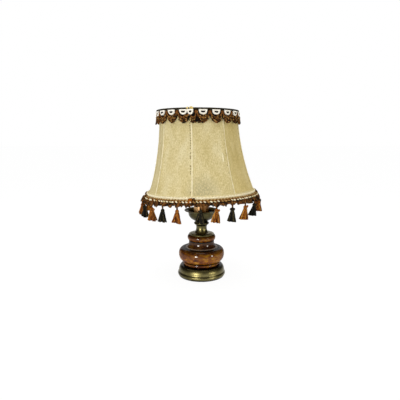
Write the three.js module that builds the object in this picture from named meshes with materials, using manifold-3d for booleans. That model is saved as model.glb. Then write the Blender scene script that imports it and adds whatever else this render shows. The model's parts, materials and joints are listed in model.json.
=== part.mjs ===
// Table lamp: a turned wooden body on a stepped brass foot, a brass neck and bowl, a lamp holder with its
// bulb, and a bell shade of eight fabric gores edged with scalloped braid and a fringe of tassels.
// Millimetres, +Z up, origin on the underside in the middle of the foot; the front of the lamp faces -Y.
import * as THREE from 'three';
import { mergeVertices } from 'three/addons/utils/BufferGeometryUtils.js';
import Module from 'manifold-3d';

const wasm = await Module();
wasm.setup();

// Clearances
const FIT = 0.3; // between turned, cut and sewn pieces
const SEWN = 0.6; // between the fabric and the trim sewn over it

// Foot: a felt disc under a spun brass shell with a low outer band and a domed upper part
const FELT_T = 2;
const FELT_INSET = 3; // the felt stops short of the foot's edge
const FOOT_R = 64.6;
const FOOT_WALL = 2;
const FOOT_BAND_H = 10.5;
const FOOT_BAND_ROUND = 2; // how far the band's middle stands out past its edges
const FOOT_STEP_IN = 2.6; // the dome starts this far inside the band
const FOOT_STEP_UP = 1.6;
const FOOT_DOME_RISE = 9; // how far the dome's side climbs before it turns in
const FOOT_DOME_RUN = 6; // how far its top runs level before the seat
const FOOT_TOP_R = 52;

// What draws the stack together inside the foot
const STEM_R = 5;
const STEM_BORE_R = 3.6;
const STEM_TAIL = 0.8; // thread past the nut
const STEM_CLEAR = 0.6; // room between the end of the thread and the felt
const NUT_FLATS = 17;
const NUT_T = 6; // under the foot
const LOCKNUT_T = 5; // in the bowl
const WASHER_R = 14;
const WASHER_T = 1.6;
const BALLAST_T = 18;
const BALLAST_CLEAR = 2; // between the ballast and the foot's shell

// Outlet for the mains lead in the back of the foot
const OUTLET_Z = 6.4; // above the foot's lower edge
const OUTLET_BORE_R = 3.4;
const BUSH_WALL = 1;
const BUSH_FLANGE = 1.8;
const BUSH_FLANGE_T = 2;
const BUSH_DEPTH = 8;

// Wooden body: bead, groove, bulge, grooved shoulder and a coved top
const BODY_H = 66;
const BEAD_R = 50;
const BEAD_H = 10.5;
const BEAD_ROUND = 2.5;
const BULGE_R = 61.5;
const BULGE_UP = 19.5; // from the bead's groove to the widest part
const SHOULDER_R = 46.5;
const SHOULDER_UP = 16.8; // from the widest part to the shoulder
const SHOULDER_GROOVE = 2.2;
const SHOULDER_FILLET = 2.6; // height of the thin fillet above the groove
const COVE_R = 36.5; // where the cove above the groove bends up
const COVE_SHARE = 0.4; // and how high, of its own height
const COLLAR_R = 34;

// Wooden ring
const RING_H = 17;
const RING_R = 37.8;
const RING_UP = 9.5; // height of its widest part
const RING_SEAT_R = 31;

// Brass neck
const NECK_H = 35;
const SKIRT_R = 33.6;
const SKIRT_EDGE = 1.6;
const SKIRT_H = 4.6;
const TRUMPET_R = 20;
const WAIST_R = 14.2;
const WAIST_UP = 19;
const NECK_BEAD_R = 20.3;
const NECK_BEAD_H = 9.5;
const NECK_TOP_R = 15.6;

// Brass bowl
const BOWL_H = 31.5;
const BOWL_R = 35.2;
const BOWL_WALL = 1.8;
const BOWL_FLOOR = 2.5;
const BOWL_FOOT_UP = 3; // how far it climbs before it opens
const BOWL_BELLY_UP = 6; // and how high it is widest from
const LIP_OUT = 10.4;
const LIP_RISE = 8;

// Bulb and lamp holder
const BULB_CAP_R = 13.1;
const BULB_CAP_H = 26;
const BULB_CONTACT_R = 4.5;
const BULB_CONTACT_H = 4;
const BULB_R = 30;
const BULB_NECK_R = 13.4;
const BULB_H = 81; // glass above the cap
const BULB_GLASS = 0.9;
const HOLDER_BORE_CLEAR = 1.4;
const INSERT_WALL = 2.8;
const INSERT_FLOOR = 3.5;
const INSERT_H = 16.7;
const HOLDER_WALL = 3.2;
const HOLDER_CAP_H = 32;
const HOLDER_CAP_FLOOR = 3;
const HOLDER_CAP_DOME = 14;
const HOLDER_CAP_FOOT_R = 10;
const HOLDER_SKIRT_H = 20; // plain lower part of the shell
const HOLDER_FLANGE_T = 3;
const HOLDER_THREAD_H = 14;
const HOLDER_THREAD_WALL = 4.9;

// Ring that clamps the shade
const CLAMP_T = 7;
const CLAMP_W = 7;
const CLAMP_GRIPS = 18;
const CLAMP_GRIP_DEPTH = 0.9;

// Carrier of the shade, and how the shade sits on it: a little askew
const CARRIER_SLACK = 1;
const CARRIER_W = 6.6;
const CARRIER_T = 2;
const ARM_COUNT = 4;
const ARM_R = 1.6;
const LEAN = THREE.MathUtils.degToRad(2.1);
const LEAN_TOWARDS = THREE.MathUtils.degToRad(146); // from +X towards +Y

// Shade frame and gores; heights count from the middle of the bottom ring
const SHADE_RISE = 11; // bottom ring above the carrier
const SHADE_ASIDE = -1.2; // the bottom ring stands this far to one side of the carrier
const TOP_ASIDE = -1.8; // and the top ring this much further
const TOP_TILT = THREE.MathUtils.degToRad(1.9); // the top ring lies level although the bottom ring leans
const SHADE_H = 215;
const SHADE_TOP_R = 101.5;
const SHADE_BOTTOM_R = 141.2;
const SHADE_BELL = 1.95; // how late the bell flares
const GORES = 8;
const GORE_FLATNESS = 0.85; // how far a gore flattens between its ribs, half way down
const SEAM_ANGLE = THREE.MathUtils.degToRad(-8.5); // the rib left of the middle, from the front on
const SEAM_GAP = 0.4;
const FABRIC_T = 1;
const FRAME_GAP = 0.6; // wire to fabric
const FRAME_RING_R = 1.75;
const RIB_R = 1.4;

// Trim along the top
const EDGING_R = 2;
const BINDING_T = 0.7;
const BINDING_H = 15;
const BRAID_T = 2.4;
const SCALLOPS = 20;
const SCALLOP_PITCH = THREE.MathUtils.degToRad(17.6); // one short scallop fills what is left at the joint
const BRAID_JOINT = THREE.MathUtils.degToRad(-9.6);
const BRAID_H = 15.5; // to the notch between two scallops
const SCALLOP_DROP = 15.5;
const SCALLOP_POINT = 1.5; // 1 is a sharp point and 2 a round lobe
const HALF_MOON_H = 10;
const HALF_MOON_SHARE = 0.62; // of the scallop's width

// Trim along the bottom
const FRINGE_TOP = 12; // above the bottom ring
const FRINGE_FOOT = 2.5; // woven part below the bottom ring
const FRINGE_T = 5;
const FRINGE_EDGE_T = 2.2;
const LOOP_DROP = 6.5;
const LOOP_LOBE = 3.5;
const LOOP_OUT = 7.2; // how far the loops stand out from the fabric

// Tassels
const TASSELS = 24;
const TASSEL_PITCH = THREE.MathUtils.degToRad(14.8);
const TASSEL_FIRST = THREE.MathUtils.degToRad(-0.5); // the one beside the fringe's joint
const TASSEL_GAP = THREE.MathUtils.degToRad(14); // from it to the next
const TASSEL_CORD_R = 1.1;
const TASSEL_CORD = 4.5;
const TASSEL_KNOT_R = 4.4;
const TASSEL_KNOT = 6;
const TASSEL_NECK_R = 3.4;
const TASSEL_SKIRT = 25;
const TASSEL_SKIRT_R = 11.4;

// Facets
const TURNED = 24; // steps round a large turned piece
const SMALL = 16; // and round a small one
const CURVE = 3; // steps along a curve of an outline
const GORE_COLUMNS = 4;
const GORE_ROWS = 9;
const WIRE_SIDES = 5;
const RIB_BENDS = 5;
const ARM_SIDES = 6;
const TASSEL_SIDES = 6;
const HEXAGON = 6;
const WELD = 1e-4; // points closer than this are one

const brass = new THREE.MeshStandardMaterial({ color: '#7b6f3f', metalness: 1, roughness: 0.35 });
const steel = new THREE.MeshStandardMaterial({ color: '#9c9c98', metalness: 1, roughness: 0.4 });
const iron = new THREE.MeshStandardMaterial({ color: '#3a3936', metalness: 1, roughness: 0.7 });
const wood = new THREE.MeshStandardMaterial({ color: '#8c5519', metalness: 0, roughness: 0.22 });
const felt = new THREE.MeshStandardMaterial({ color: '#34352b', metalness: 0, roughness: 1 });
const bakelite = new THREE.MeshStandardMaterial({ color: '#6b431a', metalness: 0, roughness: 0.3 });
const copper = new THREE.MeshStandardMaterial({ color: '#b07a3c', metalness: 1, roughness: 0.3 });
const porcelain = new THREE.MeshStandardMaterial({ color: '#efebe0', metalness: 0, roughness: 0.25 });
const opal = new THREE.MeshStandardMaterial({ color: '#f5f1e6', metalness: 0, roughness: 0.3 });
const fabric = new THREE.MeshStandardMaterial({ color: '#d8c697', metalness: 0, roughness: 0.9 });
const cream = new THREE.MeshStandardMaterial({ color: '#fbf4de', metalness: 0, roughness: 0.9 });
const brown = new THREE.MeshStandardMaterial({ color: '#5a3212', metalness: 0, roughness: 0.9 });
const olive = new THREE.MeshStandardMaterial({ color: '#3d3519', metalness: 0, roughness: 0.9 });
const tan = new THREE.MeshStandardMaterial({ color: '#a8834f', metalness: 0, roughness: 0.9 });
const orange = new THREE.MeshStandardMaterial({ color: '#b3651f', metalness: 0, roughness: 0.85 });
const black = new THREE.MeshStandardMaterial({ color: '#2d2c22', metalness: 0, roughness: 0.85 });

const lamp = new THREE.Group();

function add(parent, name, geometry, material, z = 0) {
  const mesh = new THREE.Mesh(geometry, material);
  mesh.name = name;
  mesh.position.z = z;
  parent.add(mesh);
  return mesh;
}

function point(r, z) {
  return new THREE.Vector2(r, z);
}

// A piece turned about the Z axis. The outline runs up its outside, and back down its bore if it has one.
function turned(outline, steps) {
  return new THREE.LatheGeometry(outline, steps).rotateX(Math.PI / 2);
}

// A turned piece with a plain bore through it: its outer side, from the bottom up.
function boredTurned(side, bore, steps) {
  const low = side[0].y;
  const high = side[side.length - 1].y;
  return turned([point(bore, low), ...side, point(bore, high), point(bore, low)], steps);
}

// A plain disc and a flat ring, lying from z = 0 up.
function disc(r, thickness, steps) {
  return turned([point(0, 0), point(r, 0), point(r, thickness), point(0, thickness)], steps);
}

function flatRing(inner, outer, thickness, steps) {
  return boredTurned([point(outer, 0), point(outer, thickness)], inner, steps);
}

// A round rod along a curve.
function rod(path, radius, sides, steps) {
  const section = new THREE.Path().absarc(0, 0, radius, 0, 2 * Math.PI).getSpacedPoints(sides);
  const options = { extrudePath: path, steps, bevelEnabled: false };
  return new THREE.ExtrudeGeometry(new THREE.Shape(section), options);
}

// A geometry as a solid that can be cut and joined, and back again.
function solid(geometry) {
  const bare = geometry.clone();
  bare.deleteAttribute('normal');
  bare.deleteAttribute('uv');
  const welded = mergeVertices(bare, WELD);
  const vertProperties = new Float32Array(welded.getAttribute('position').array);
  const triVerts = new Uint32Array(welded.getIndex().array);
  return new wasm.Manifold(new wasm.Mesh({ numProp: 3, vertProperties, triVerts }));
}

function shape(body) {
  const mesh = body.getMesh();
  const geometry = new THREE.BufferGeometry();
  geometry.setAttribute('position', new THREE.BufferAttribute(mesh.vertProperties, 3));
  geometry.setIndex(new THREE.BufferAttribute(mesh.triVerts, 1));
  return geometry;
}

// A thick sheet on a grid: column by column towards +X at the front, and row by row upwards.
// outer and inner give the two faces' points, and the sheet is closed round its four edges.
function sheet(columns, rows, outer, inner) {
  const positions = [];
  for (const face of [outer, inner]) {
    for (let i = 0; i <= columns; i++) {
      for (let j = 0; j <= rows; j++) {
        positions.push(...face(i, j).toArray());
      }
    }
  }
  const index = [];
  const out = (i, j) => i * (rows + 1) + j;
  const inn = (i, j) => (columns + 1) * (rows + 1) + out(i, j);
  const quad = (a, b, c, d) => index.push(a, b, c, a, c, d);
  for (let i = 0; i < columns; i++) {
    for (let j = 0; j < rows; j++) {
      quad(out(i, j), out(i + 1, j), out(i + 1, j + 1), out(i, j + 1));
      quad(inn(i, j), inn(i, j + 1), inn(i + 1, j + 1), inn(i + 1, j));
    }
    quad(inn(i, 0), inn(i + 1, 0), out(i + 1, 0), out(i, 0));
    quad(out(i, rows), out(i + 1, rows), inn(i + 1, rows), inn(i, rows));
  }
  for (let j = 0; j < rows; j++) {
    quad(out(0, j), out(0, j + 1), inn(0, j + 1), inn(0, j));
    quad(inn(columns, j), inn(columns, j + 1), out(columns, j + 1), out(columns, j));
  }
  const geometry = new THREE.BufferGeometry();
  geometry.setAttribute('position', new THREE.Float32BufferAttribute(positions, 3));
  geometry.setIndex(index);
  return geometry;
}

// Heights of the stack, from the table up
const stemBore = STEM_R + FIT;
const footH = STEM_CLEAR + STEM_TAIL + NUT_T + WASHER_T + BALLAST_T + FOOT_WALL;
const footZ = FELT_T;
const bodyZ = footZ + footH;
const ringZ = bodyZ + BODY_H;
const neckZ = ringZ + RING_H;
const bowlZ = neckZ + NECK_H;
const locknutZ = bowlZ + BOWL_FLOOR;
const holderZ = locknutZ + LOCKNUT_T;
const shellZ = holderZ + HOLDER_CAP_H;
const stemZ = footZ + STEM_CLEAR;
const nutZ = stemZ + STEM_TAIL;
const washerZ = nutZ + NUT_T;
const ballastZ = washerZ + WASHER_T;

// Side of the foot, from its lower edge to its seat, drawn in by the wall for the inside of the shell.
function footSide(inset) {
  const band = FOOT_R - inset;
  const dome = band - FOOT_STEP_IN;
  const step = FOOT_BAND_H + FOOT_STEP_UP;
  const seat = FOOT_TOP_R - inset;
  const top = footH - inset;
  const side = new THREE.Path();
  side.moveTo(band - FOOT_BAND_ROUND, 0);
  side.quadraticCurveTo(band + FOOT_BAND_ROUND, FOOT_BAND_H / 2, band - FOOT_BAND_ROUND, FOOT_BAND_H);
  side.lineTo(dome, step);
  side.bezierCurveTo(dome, step + FOOT_DOME_RISE, seat + FOOT_DOME_RUN, top, seat, top);
  return side.getPoints(CURVE);
}

// Outlet: a bush with a flange, and the hole that it sits in, both lying along Y at the back of the foot.
const bushR = OUTLET_BORE_R + BUSH_WALL;
function alongBack(geometry) {
  return geometry.rotateX(-Math.PI / 2).translate(0, FOOT_R + FIT - BUSH_DEPTH, footZ + OUTLET_Z);
}

function makeFoot() {
  const outer = footSide(0);
  const inner = footSide(FOOT_WALL).reverse();
  const bore = [point(stemBore, footH), point(stemBore, footH - FOOT_WALL)];
  const shell = turned([...outer, ...bore, ...inner, outer[0]], TURNED).translate(0, 0, footZ);
  const hole = alongBack(disc(bushR + FIT, 2 * BUSH_DEPTH, SMALL));
  return shape(solid(shell).subtract(solid(hole)));
}

function makeBush() {
  const flangeR = bushR + BUSH_FLANGE;
  const side = [point(bushR, 0), point(bushR, BUSH_DEPTH), point(flangeR, BUSH_DEPTH)];
  side.push(point(flangeR, BUSH_DEPTH + BUSH_FLANGE_T));
  return alongBack(boredTurned(side, OUTLET_BORE_R, SMALL));
}

function makeNut(thickness) {
  const corner = NUT_FLATS / 2 / Math.cos(Math.PI / HEXAGON);
  const rim = new THREE.Path().absarc(0, 0, corner, 0, 2 * Math.PI).getSpacedPoints(HEXAGON);
  const outline = new THREE.Shape(rim);
  outline.holes.push(new THREE.Path().absarc(0, 0, stemBore, 0, 2 * Math.PI, true));
  return new THREE.ExtrudeGeometry(outline, { depth: thickness, bevelEnabled: false, curveSegments: SMALL });
}

function makeBody() {
  const groove = BEAD_R - BEAD_ROUND;
  const bulgeZ = BEAD_H + BULGE_UP;
  const shoulderZ = bulgeZ + SHOULDER_UP;
  const fillet = SHOULDER_R - SHOULDER_GROOVE / 2;
  const filletZ = shoulderZ + SHOULDER_FILLET - SHOULDER_GROOVE;
  const coveZ = filletZ + COVE_SHARE * (BODY_H - filletZ);
  const side = new THREE.Path();
  side.moveTo(groove, 0);
  side.quadraticCurveTo(BEAD_R + BEAD_ROUND, BEAD_H / 2, groove, BEAD_H);
  const bulgeIn = BULGE_R - BEAD_ROUND;
  side.bezierCurveTo(bulgeIn - BEAD_ROUND, BEAD_H, BULGE_R, bulgeZ - BULGE_UP / 2, BULGE_R, bulgeZ);
  side.bezierCurveTo(BULGE_R, bulgeZ + SHOULDER_UP / 2, bulgeIn, shoulderZ, SHOULDER_R, shoulderZ);
  side.lineTo(SHOULDER_R - SHOULDER_GROOVE, shoulderZ - SHOULDER_GROOVE);
  side.lineTo(fillet, filletZ);
  side.quadraticCurveTo(COVE_R, coveZ, COLLAR_R, BODY_H);
  return boredTurned(side.getPoints(CURVE), stemBore, TURNED);
}

function makeRing() {
  const side = new THREE.Path();
  side.moveTo(RING_SEAT_R, 0);
  side.bezierCurveTo(RING_R - BEAD_ROUND, 0, RING_R, RING_UP / 2, RING_R, RING_UP);
  side.quadraticCurveTo(RING_R, (RING_UP + RING_H) / 2, SKIRT_R, RING_H);
  return boredTurned(side.getPoints(CURVE), stemBore, TURNED);
}

function makeNeck() {
  const beadZ = NECK_H - NECK_BEAD_H;
  const flare = (TRUMPET_R + WAIST_R) / 2;
  const side = new THREE.Path();
  side.moveTo(SKIRT_R, 0);
  side.lineTo(SKIRT_R, SKIRT_EDGE);
  side.quadraticCurveTo((SKIRT_R + TRUMPET_R) / 2, SKIRT_H, TRUMPET_R, SKIRT_H);
  side.bezierCurveTo(flare, SKIRT_H, WAIST_R, (SKIRT_H + WAIST_UP) / 2, WAIST_R, WAIST_UP);
  side.quadraticCurveTo(WAIST_R, (WAIST_UP + beadZ) / 2, NECK_TOP_R, beadZ);
  side.quadraticCurveTo(2 * NECK_BEAD_R - NECK_TOP_R, NECK_H - NECK_BEAD_H / 2, NECK_TOP_R, NECK_H);
  return boredTurned(side.getPoints(CURVE), stemBore, TURNED);
}

// Side of the bowl from its floor to its lip, drawn in by the wall for the inside.
function bowlSide(inset) {
  const wall = BOWL_R - inset;
  const low = inset > 0 ? BOWL_FLOOR : 0;
  const neck = BOWL_H - LIP_RISE;
  const lip = BOWL_R + LIP_OUT;
  const top = inset > 0 ? BOWL_H : BOWL_H - BOWL_WALL;
  const side = new THREE.Path();
  side.moveTo(NECK_TOP_R, low);
  side.bezierCurveTo(NECK_TOP_R, low + BOWL_FOOT_UP, wall, low + BOWL_BELLY_UP, wall, neck);
  side.quadraticCurveTo(wall, top, lip, top);
  return side.getPoints(CURVE + 1);
}

function makeBowl() {
  const bore = [point(stemBore, BOWL_FLOOR), point(stemBore, 0)];
  const outer = bowlSide(0);
  return turned([...outer, ...bowlSide(BOWL_WALL).reverse(), ...bore, outer[0]], TURNED);
}

// Lamp holder: cap below, shell with a flange and a threaded top above, contact block inside
const holderBore = BULB_CAP_R + HOLDER_BORE_CLEAR;
const insertR = holderBore + INSERT_WALL;
const holderSocketR = insertR + FIT;
const holderR = holderSocketR + HOLDER_WALL;
const threadR = holderBore + HOLDER_THREAD_WALL;
const carrierBore = threadR + CARRIER_SLACK;
const carrierR = carrierBore + CARRIER_W;
const flangeZ = shellZ + HOLDER_SKIRT_H + HOLDER_FLANGE_T;

function holderCapSide(inset) {
  const side = new THREE.Path();
  side.moveTo(HOLDER_CAP_FOOT_R - inset, inset);
  side.quadraticCurveTo(holderR - inset, inset, holderR - inset, HOLDER_CAP_DOME);
  side.lineTo(holderR - inset, HOLDER_CAP_H);
  return side.getPoints(CURVE);
}

function makeHolderCap() {
  const outer = [point(stemBore, 0), ...holderCapSide(0)];
  const inner = [...holderCapSide(HOLDER_CAP_FLOOR).reverse(), point(stemBore, HOLDER_CAP_FLOOR)];
  return turned([...outer, ...inner, outer[0]], SMALL);
}

function makeHolderShell() {
  const flange = HOLDER_SKIRT_H + HOLDER_FLANGE_T;
  const top = flange + HOLDER_THREAD_H;
  const outline = [
    point(holderSocketR, 0),
    point(holderR, 0),
    point(holderR, HOLDER_SKIRT_H),
    point(carrierR, HOLDER_SKIRT_H),
    point(carrierR, flange),
    point(threadR, flange),
    point(threadR, top),
    point(holderBore, top),
    point(holderBore, HOLDER_SKIRT_H),
    point(holderSocketR, HOLDER_SKIRT_H),
  ];
  return turned([...outline, outline[0]], SMALL);
}

function makeInsert() {
  const outline = [
    point(0, 0),
    point(insertR, 0),
    point(insertR, INSERT_H),
    point(holderBore, INSERT_H),
    point(holderBore, INSERT_FLOOR),
    point(0, INSERT_FLOOR),
  ];
  return turned(outline, SMALL);
}

const insertZ = shellZ + HOLDER_SKIRT_H - FIT - INSERT_H;
const bulbZ = insertZ + INSERT_FLOOR + FIT;

function makeBulbCap() {
  const outline = [
    point(0, 0),
    point(BULB_CONTACT_R, 0),
    point(BULB_CAP_R, BULB_CONTACT_H),
    point(BULB_CAP_R, BULB_CAP_H),
    point(0, BULB_CAP_H),
  ];
  return turned(outline, SMALL);
}

// Side of the bulb from its neck to its crown, drawn in by the glass for the inside.
function bulbSide(inset) {
  const widest = BULB_H - BULB_R;
  const side = new THREE.Path();
  side.moveTo(BULB_NECK_R - inset, 0);
  side.bezierCurveTo(BULB_NECK_R - inset, widest / 2, BULB_R - inset, widest / 2, BULB_R - inset, widest);
  side.absarc(0, widest, BULB_R - inset, 0, Math.PI / 2);
  return side.getPoints(CURVE);
}

function makeBulbGlass() {
  return turned([...bulbSide(BULB_GLASS).reverse(), ...bulbSide(0)], SMALL);
}

// How far the askew carrier reaches above and below its own middle
const carrierReach = (CARRIER_T / 2) * Math.cos(LEAN) + carrierR * Math.sin(LEAN);
const carrierZ = flangeZ + FIT + carrierReach;
const clampZ = carrierZ + carrierReach + FIT;

function makeClamp() {
  const outer = threadR + FIT + CLAMP_W;
  const rim = [];
  for (let i = 0; i < 2 * CLAMP_GRIPS; i++) {
    const angle = (i * Math.PI) / CLAMP_GRIPS;
    const r = i % 2 === 0 ? outer : outer - CLAMP_GRIP_DEPTH;
    rim.push(point(r * Math.cos(angle), r * Math.sin(angle)));
  }
  const outline = new THREE.Shape(rim);
  outline.holes.push(new THREE.Path().absarc(0, 0, threadR + FIT, 0, 2 * Math.PI, true));
  return new THREE.ExtrudeGeometry(outline, { depth: CLAMP_T, bevelEnabled: false, curveSegments: SMALL });
}

const ballastR = FOOT_TOP_R - FOOT_WALL - BALLAST_CLEAR;
add(lamp, 'foot_felt', disc(FOOT_R - FELT_INSET, FELT_T, TURNED), felt);
add(lamp, 'foot', makeFoot(), brass);
add(lamp, 'cord_bush', makeBush(), bakelite);
add(lamp, 'ballast', flatRing(stemBore, ballastR, BALLAST_T, TURNED), iron, ballastZ);
add(lamp, 'base_washer', flatRing(stemBore, WASHER_R, WASHER_T, SMALL), steel, washerZ);
add(lamp, 'base_nut', makeNut(NUT_T), steel, nutZ);
add(lamp, 'stem_tube', flatRing(STEM_BORE_R, STEM_R, holderZ + HOLDER_CAP_DOME - stemZ, SMALL), steel, stemZ);
add(lamp, 'wood_body', makeBody(), wood, bodyZ);
add(lamp, 'wood_ring', makeRing(), wood, ringZ);
add(lamp, 'neck', makeNeck(), brass, neckZ);
add(lamp, 'bowl', makeBowl(), brass, bowlZ);
add(lamp, 'bowl_nut', makeNut(LOCKNUT_T), brass, locknutZ);
add(lamp, 'holder_cap', makeHolderCap(), copper, holderZ);
add(lamp, 'holder_shell', makeHolderShell(), copper, shellZ);
add(lamp, 'holder_insert', makeInsert(), porcelain, insertZ);
add(lamp, 'bulb_cap', makeBulbCap(), steel, bulbZ);
add(lamp, 'bulb_glass', makeBulbGlass(), opal, bulbZ + BULB_CAP_H + FIT);
add(lamp, 'shade_ring', makeClamp(), copper, clampZ);

// Shade: everything on it leans with it about the middle of the carrier
const shade = new THREE.Group();
shade.position.z = carrierZ;
const leanAxis = new THREE.Vector3(-Math.sin(LEAN_TOWARDS), Math.cos(LEAN_TOWARDS), 0);
shade.quaternion.setFromAxisAngle(leanAxis, LEAN);
lamp.add(shade);

// Radius of the fabric's inner face at a rib, flaring like a bell towards the bottom ring.
function ribRadius(z) {
  const down = Math.max(0, (SHADE_H - z) / SHADE_H);
  return SHADE_TOP_R + (SHADE_BOTTOM_R - SHADE_TOP_R) * down ** SHADE_BELL;
}

// How far the shade stands to one side at a share of its height.
function asideAt(height) {
  return SHADE_ASIDE + TOP_ASIDE * height;
}

// A point of the shade, lifted off the fabric's inner face. Between two ribs a gore is drawn flat half way
// down, and follows the round rings at its two ends. Angles run from the front (-Y) towards +X.
// The higher a point, the more the tilt of the top ring lifts or lowers it.
function onShade(angle, z, lift) {
  const gore = (2 * Math.PI) / GORES;
  const turn = (angle - SEAM_ANGLE) / gore;
  const aside = (turn - Math.floor(turn) - 0.5) * gore;
  const chord = Math.cos(gore / 2) / Math.cos(aside);
  const height = THREE.MathUtils.clamp(z / SHADE_H, 0, 1);
  const flat = GORE_FLATNESS * Math.sin(Math.PI * height);
  const r = ribRadius(z) * (1 - flat * (1 - chord)) + lift;
  const x = r * Math.sin(angle);
  const level = -x * Math.tan(TOP_TILT) * height;
  return new THREE.Vector3(asideAt(height) + x, -r * Math.cos(angle), SHADE_RISE + z + level);
}

// A ring turned about its own middle, set into the shade at a height.
function onRing(outline, z, steps) {
  const ring = turned(outline, steps).rotateY((TOP_TILT * z) / SHADE_H);
  return ring.translate(asideAt(z / SHADE_H), 0, SHADE_RISE + z);
}

function makeGore(number) {
  const gore = (2 * Math.PI) / GORES;
  const gap = SEAM_GAP / SHADE_TOP_R;
  const start = SEAM_ANGLE + number * gore + gap / 2;
  const angle = (i) => start + (i / GORE_COLUMNS) * (gore - gap);
  const face = (lift) => (i, j) => onShade(angle(i), (j / GORE_ROWS) * SHADE_H, lift);
  return sheet(GORE_COLUMNS, GORE_ROWS, face(FABRIC_T), face(0));
}

function makeFrame() {
  const ring = (z) => {
    const r = ribRadius(z) - FRAME_GAP - FRAME_RING_R;
    const outline = new THREE.Path().absarc(r, 0, FRAME_RING_R, 0, 2 * Math.PI);
    return solid(onRing(outline.getSpacedPoints(WIRE_SIDES), z, GORE_COLUMNS * GORES));
  };
  let frame = ring(0).add(ring(SHADE_H));
  for (let n = 0; n < GORES; n++) {
    const angle = SEAM_ANGLE + (n * 2 * Math.PI) / GORES;
    const points = [];
    for (let i = 0; i <= RIB_BENDS; i++) {
      points.push(onShade(angle, (i / RIB_BENDS) * SHADE_H, -FRAME_GAP - FRAME_RING_R));
    }
    frame = frame.add(solid(rod(new THREE.CatmullRomCurve3(points), RIB_R, WIRE_SIDES, RIB_BENDS)));
  }
  return shape(frame);
}

function makeArm(number) {
  const angle = SEAM_ANGLE + (number * 2 * Math.PI) / ARM_COUNT;
  const near = carrierR + FIT;
  const far = SHADE_BOTTOM_R - FRAME_GAP - 2 * FRAME_RING_R - 2 * FIT;
  const at = (r, z) => new THREE.Vector3(r * Math.sin(angle), -r * Math.cos(angle), z);
  const end = at(far, SHADE_RISE);
  end.x += SHADE_ASIDE;
  const path = new THREE.QuadraticBezierCurve3(at(near, 0), at((near + far) / 2, 0), end);
  return rod(path, ARM_R, ARM_SIDES, 2 * CURVE);
}

// Scalloped braid, open in a half moon under the edging over each scallop. Columns are closest at the curves.
// Its ends lap over each other at the joint, where no notch shows.
function makeTopBraid() {
  const joint = 2 * Math.PI - SCALLOPS * SCALLOP_PITCH;
  const gap = SEAM_GAP / SHADE_TOP_R;
  const stops = [-1, -HALF_MOON_SHARE, -HALF_MOON_SHARE / 2, 0, HALF_MOON_SHARE / 2, HALF_MOON_SHARE];
  const columns = [];
  const size = joint / SCALLOP_PITCH;
  for (const stop of stops) {
    const angle = BRAID_JOINT + gap + ((stop + 1) / 2) * (joint - gap);
    columns.push({ angle, across: stop, size, lapped: stop > -1 });
  }
  for (let n = 0; n < SCALLOPS; n++) {
    for (const stop of stops) {
      const angle = BRAID_JOINT + joint + (n + (stop + 1) / 2) * SCALLOP_PITCH;
      columns.push({ angle, across: stop, size: 1, lapped: n === 0 && stop < 0 });
    }
  }
  columns.push({ angle: BRAID_JOINT + 2 * Math.PI, across: 1, size: 1, lapped: false });
  const under = SHADE_H - EDGING_R - FIT;
  const lower = (column) => {
    const across = column.lapped ? 0 : Math.abs(column.across);
    const drop = (1 - across ** SCALLOP_POINT) ** (1 / SCALLOP_POINT);
    return under - BRAID_H - SCALLOP_DROP * drop;
  };
  const upper = (column) => {
    const inMoon = Math.min(1, Math.abs(column.across) / HALF_MOON_SHARE);
    return under - column.size * HALF_MOON_H * Math.sqrt(1 - inMoon * inMoon);
  };
  const edge = (column, j) => (j === 0 ? lower(column) : upper(column));
  const lift = FABRIC_T + SEWN + BINDING_T + FIT;
  const face = (off) => (i, j) => onShade(columns[i].angle, edge(columns[i], j), off);
  return sheet(columns.length - 1, 1, face(lift + BRAID_T), face(lift));
}

function makeBinding() {
  const columns = GORE_COLUMNS * GORES;
  const gap = SEAM_GAP / SHADE_TOP_R;
  const angle = (i) => SEAM_ANGLE + gap / 2 + (i / columns) * (2 * Math.PI - gap);
  const top = SHADE_H - EDGING_R - FIT;
  const face = (lift) => (i, j) => onShade(angle(i), top - (1 - j) * BINDING_H, lift);
  return sheet(columns, 1, face(FABRIC_T + SEWN + BINDING_T), face(FABRIC_T + SEWN));
}

// Dark cord along the top edge, lying on the ends of the gores above the binding.
function makeEdging() {
  const r = ribRadius(SHADE_H) + FABRIC_T + SEWN + EDGING_R;
  const outline = new THREE.Path().absarc(r, 0, EDGING_R, 0, 2 * Math.PI);
  return onRing(outline.getSpacedPoints(WIRE_SIDES), SHADE_H, 2 * TURNED);
}

const fringeFoot = -FRINGE_FOOT - LOOP_DROP; // between two loops
const fringeTip = fringeFoot - LOOP_LOBE; // at a loop, where a tassel hangs

// Angle of a tassel, counted from the one beside the fringe's joint, which has wider gaps to its sides.
function tasselAngle(number) {
  return number === 0 ? TASSEL_FIRST : TASSEL_FIRST + TASSEL_GAP + (number - 1) * TASSEL_PITCH;
}

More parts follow.
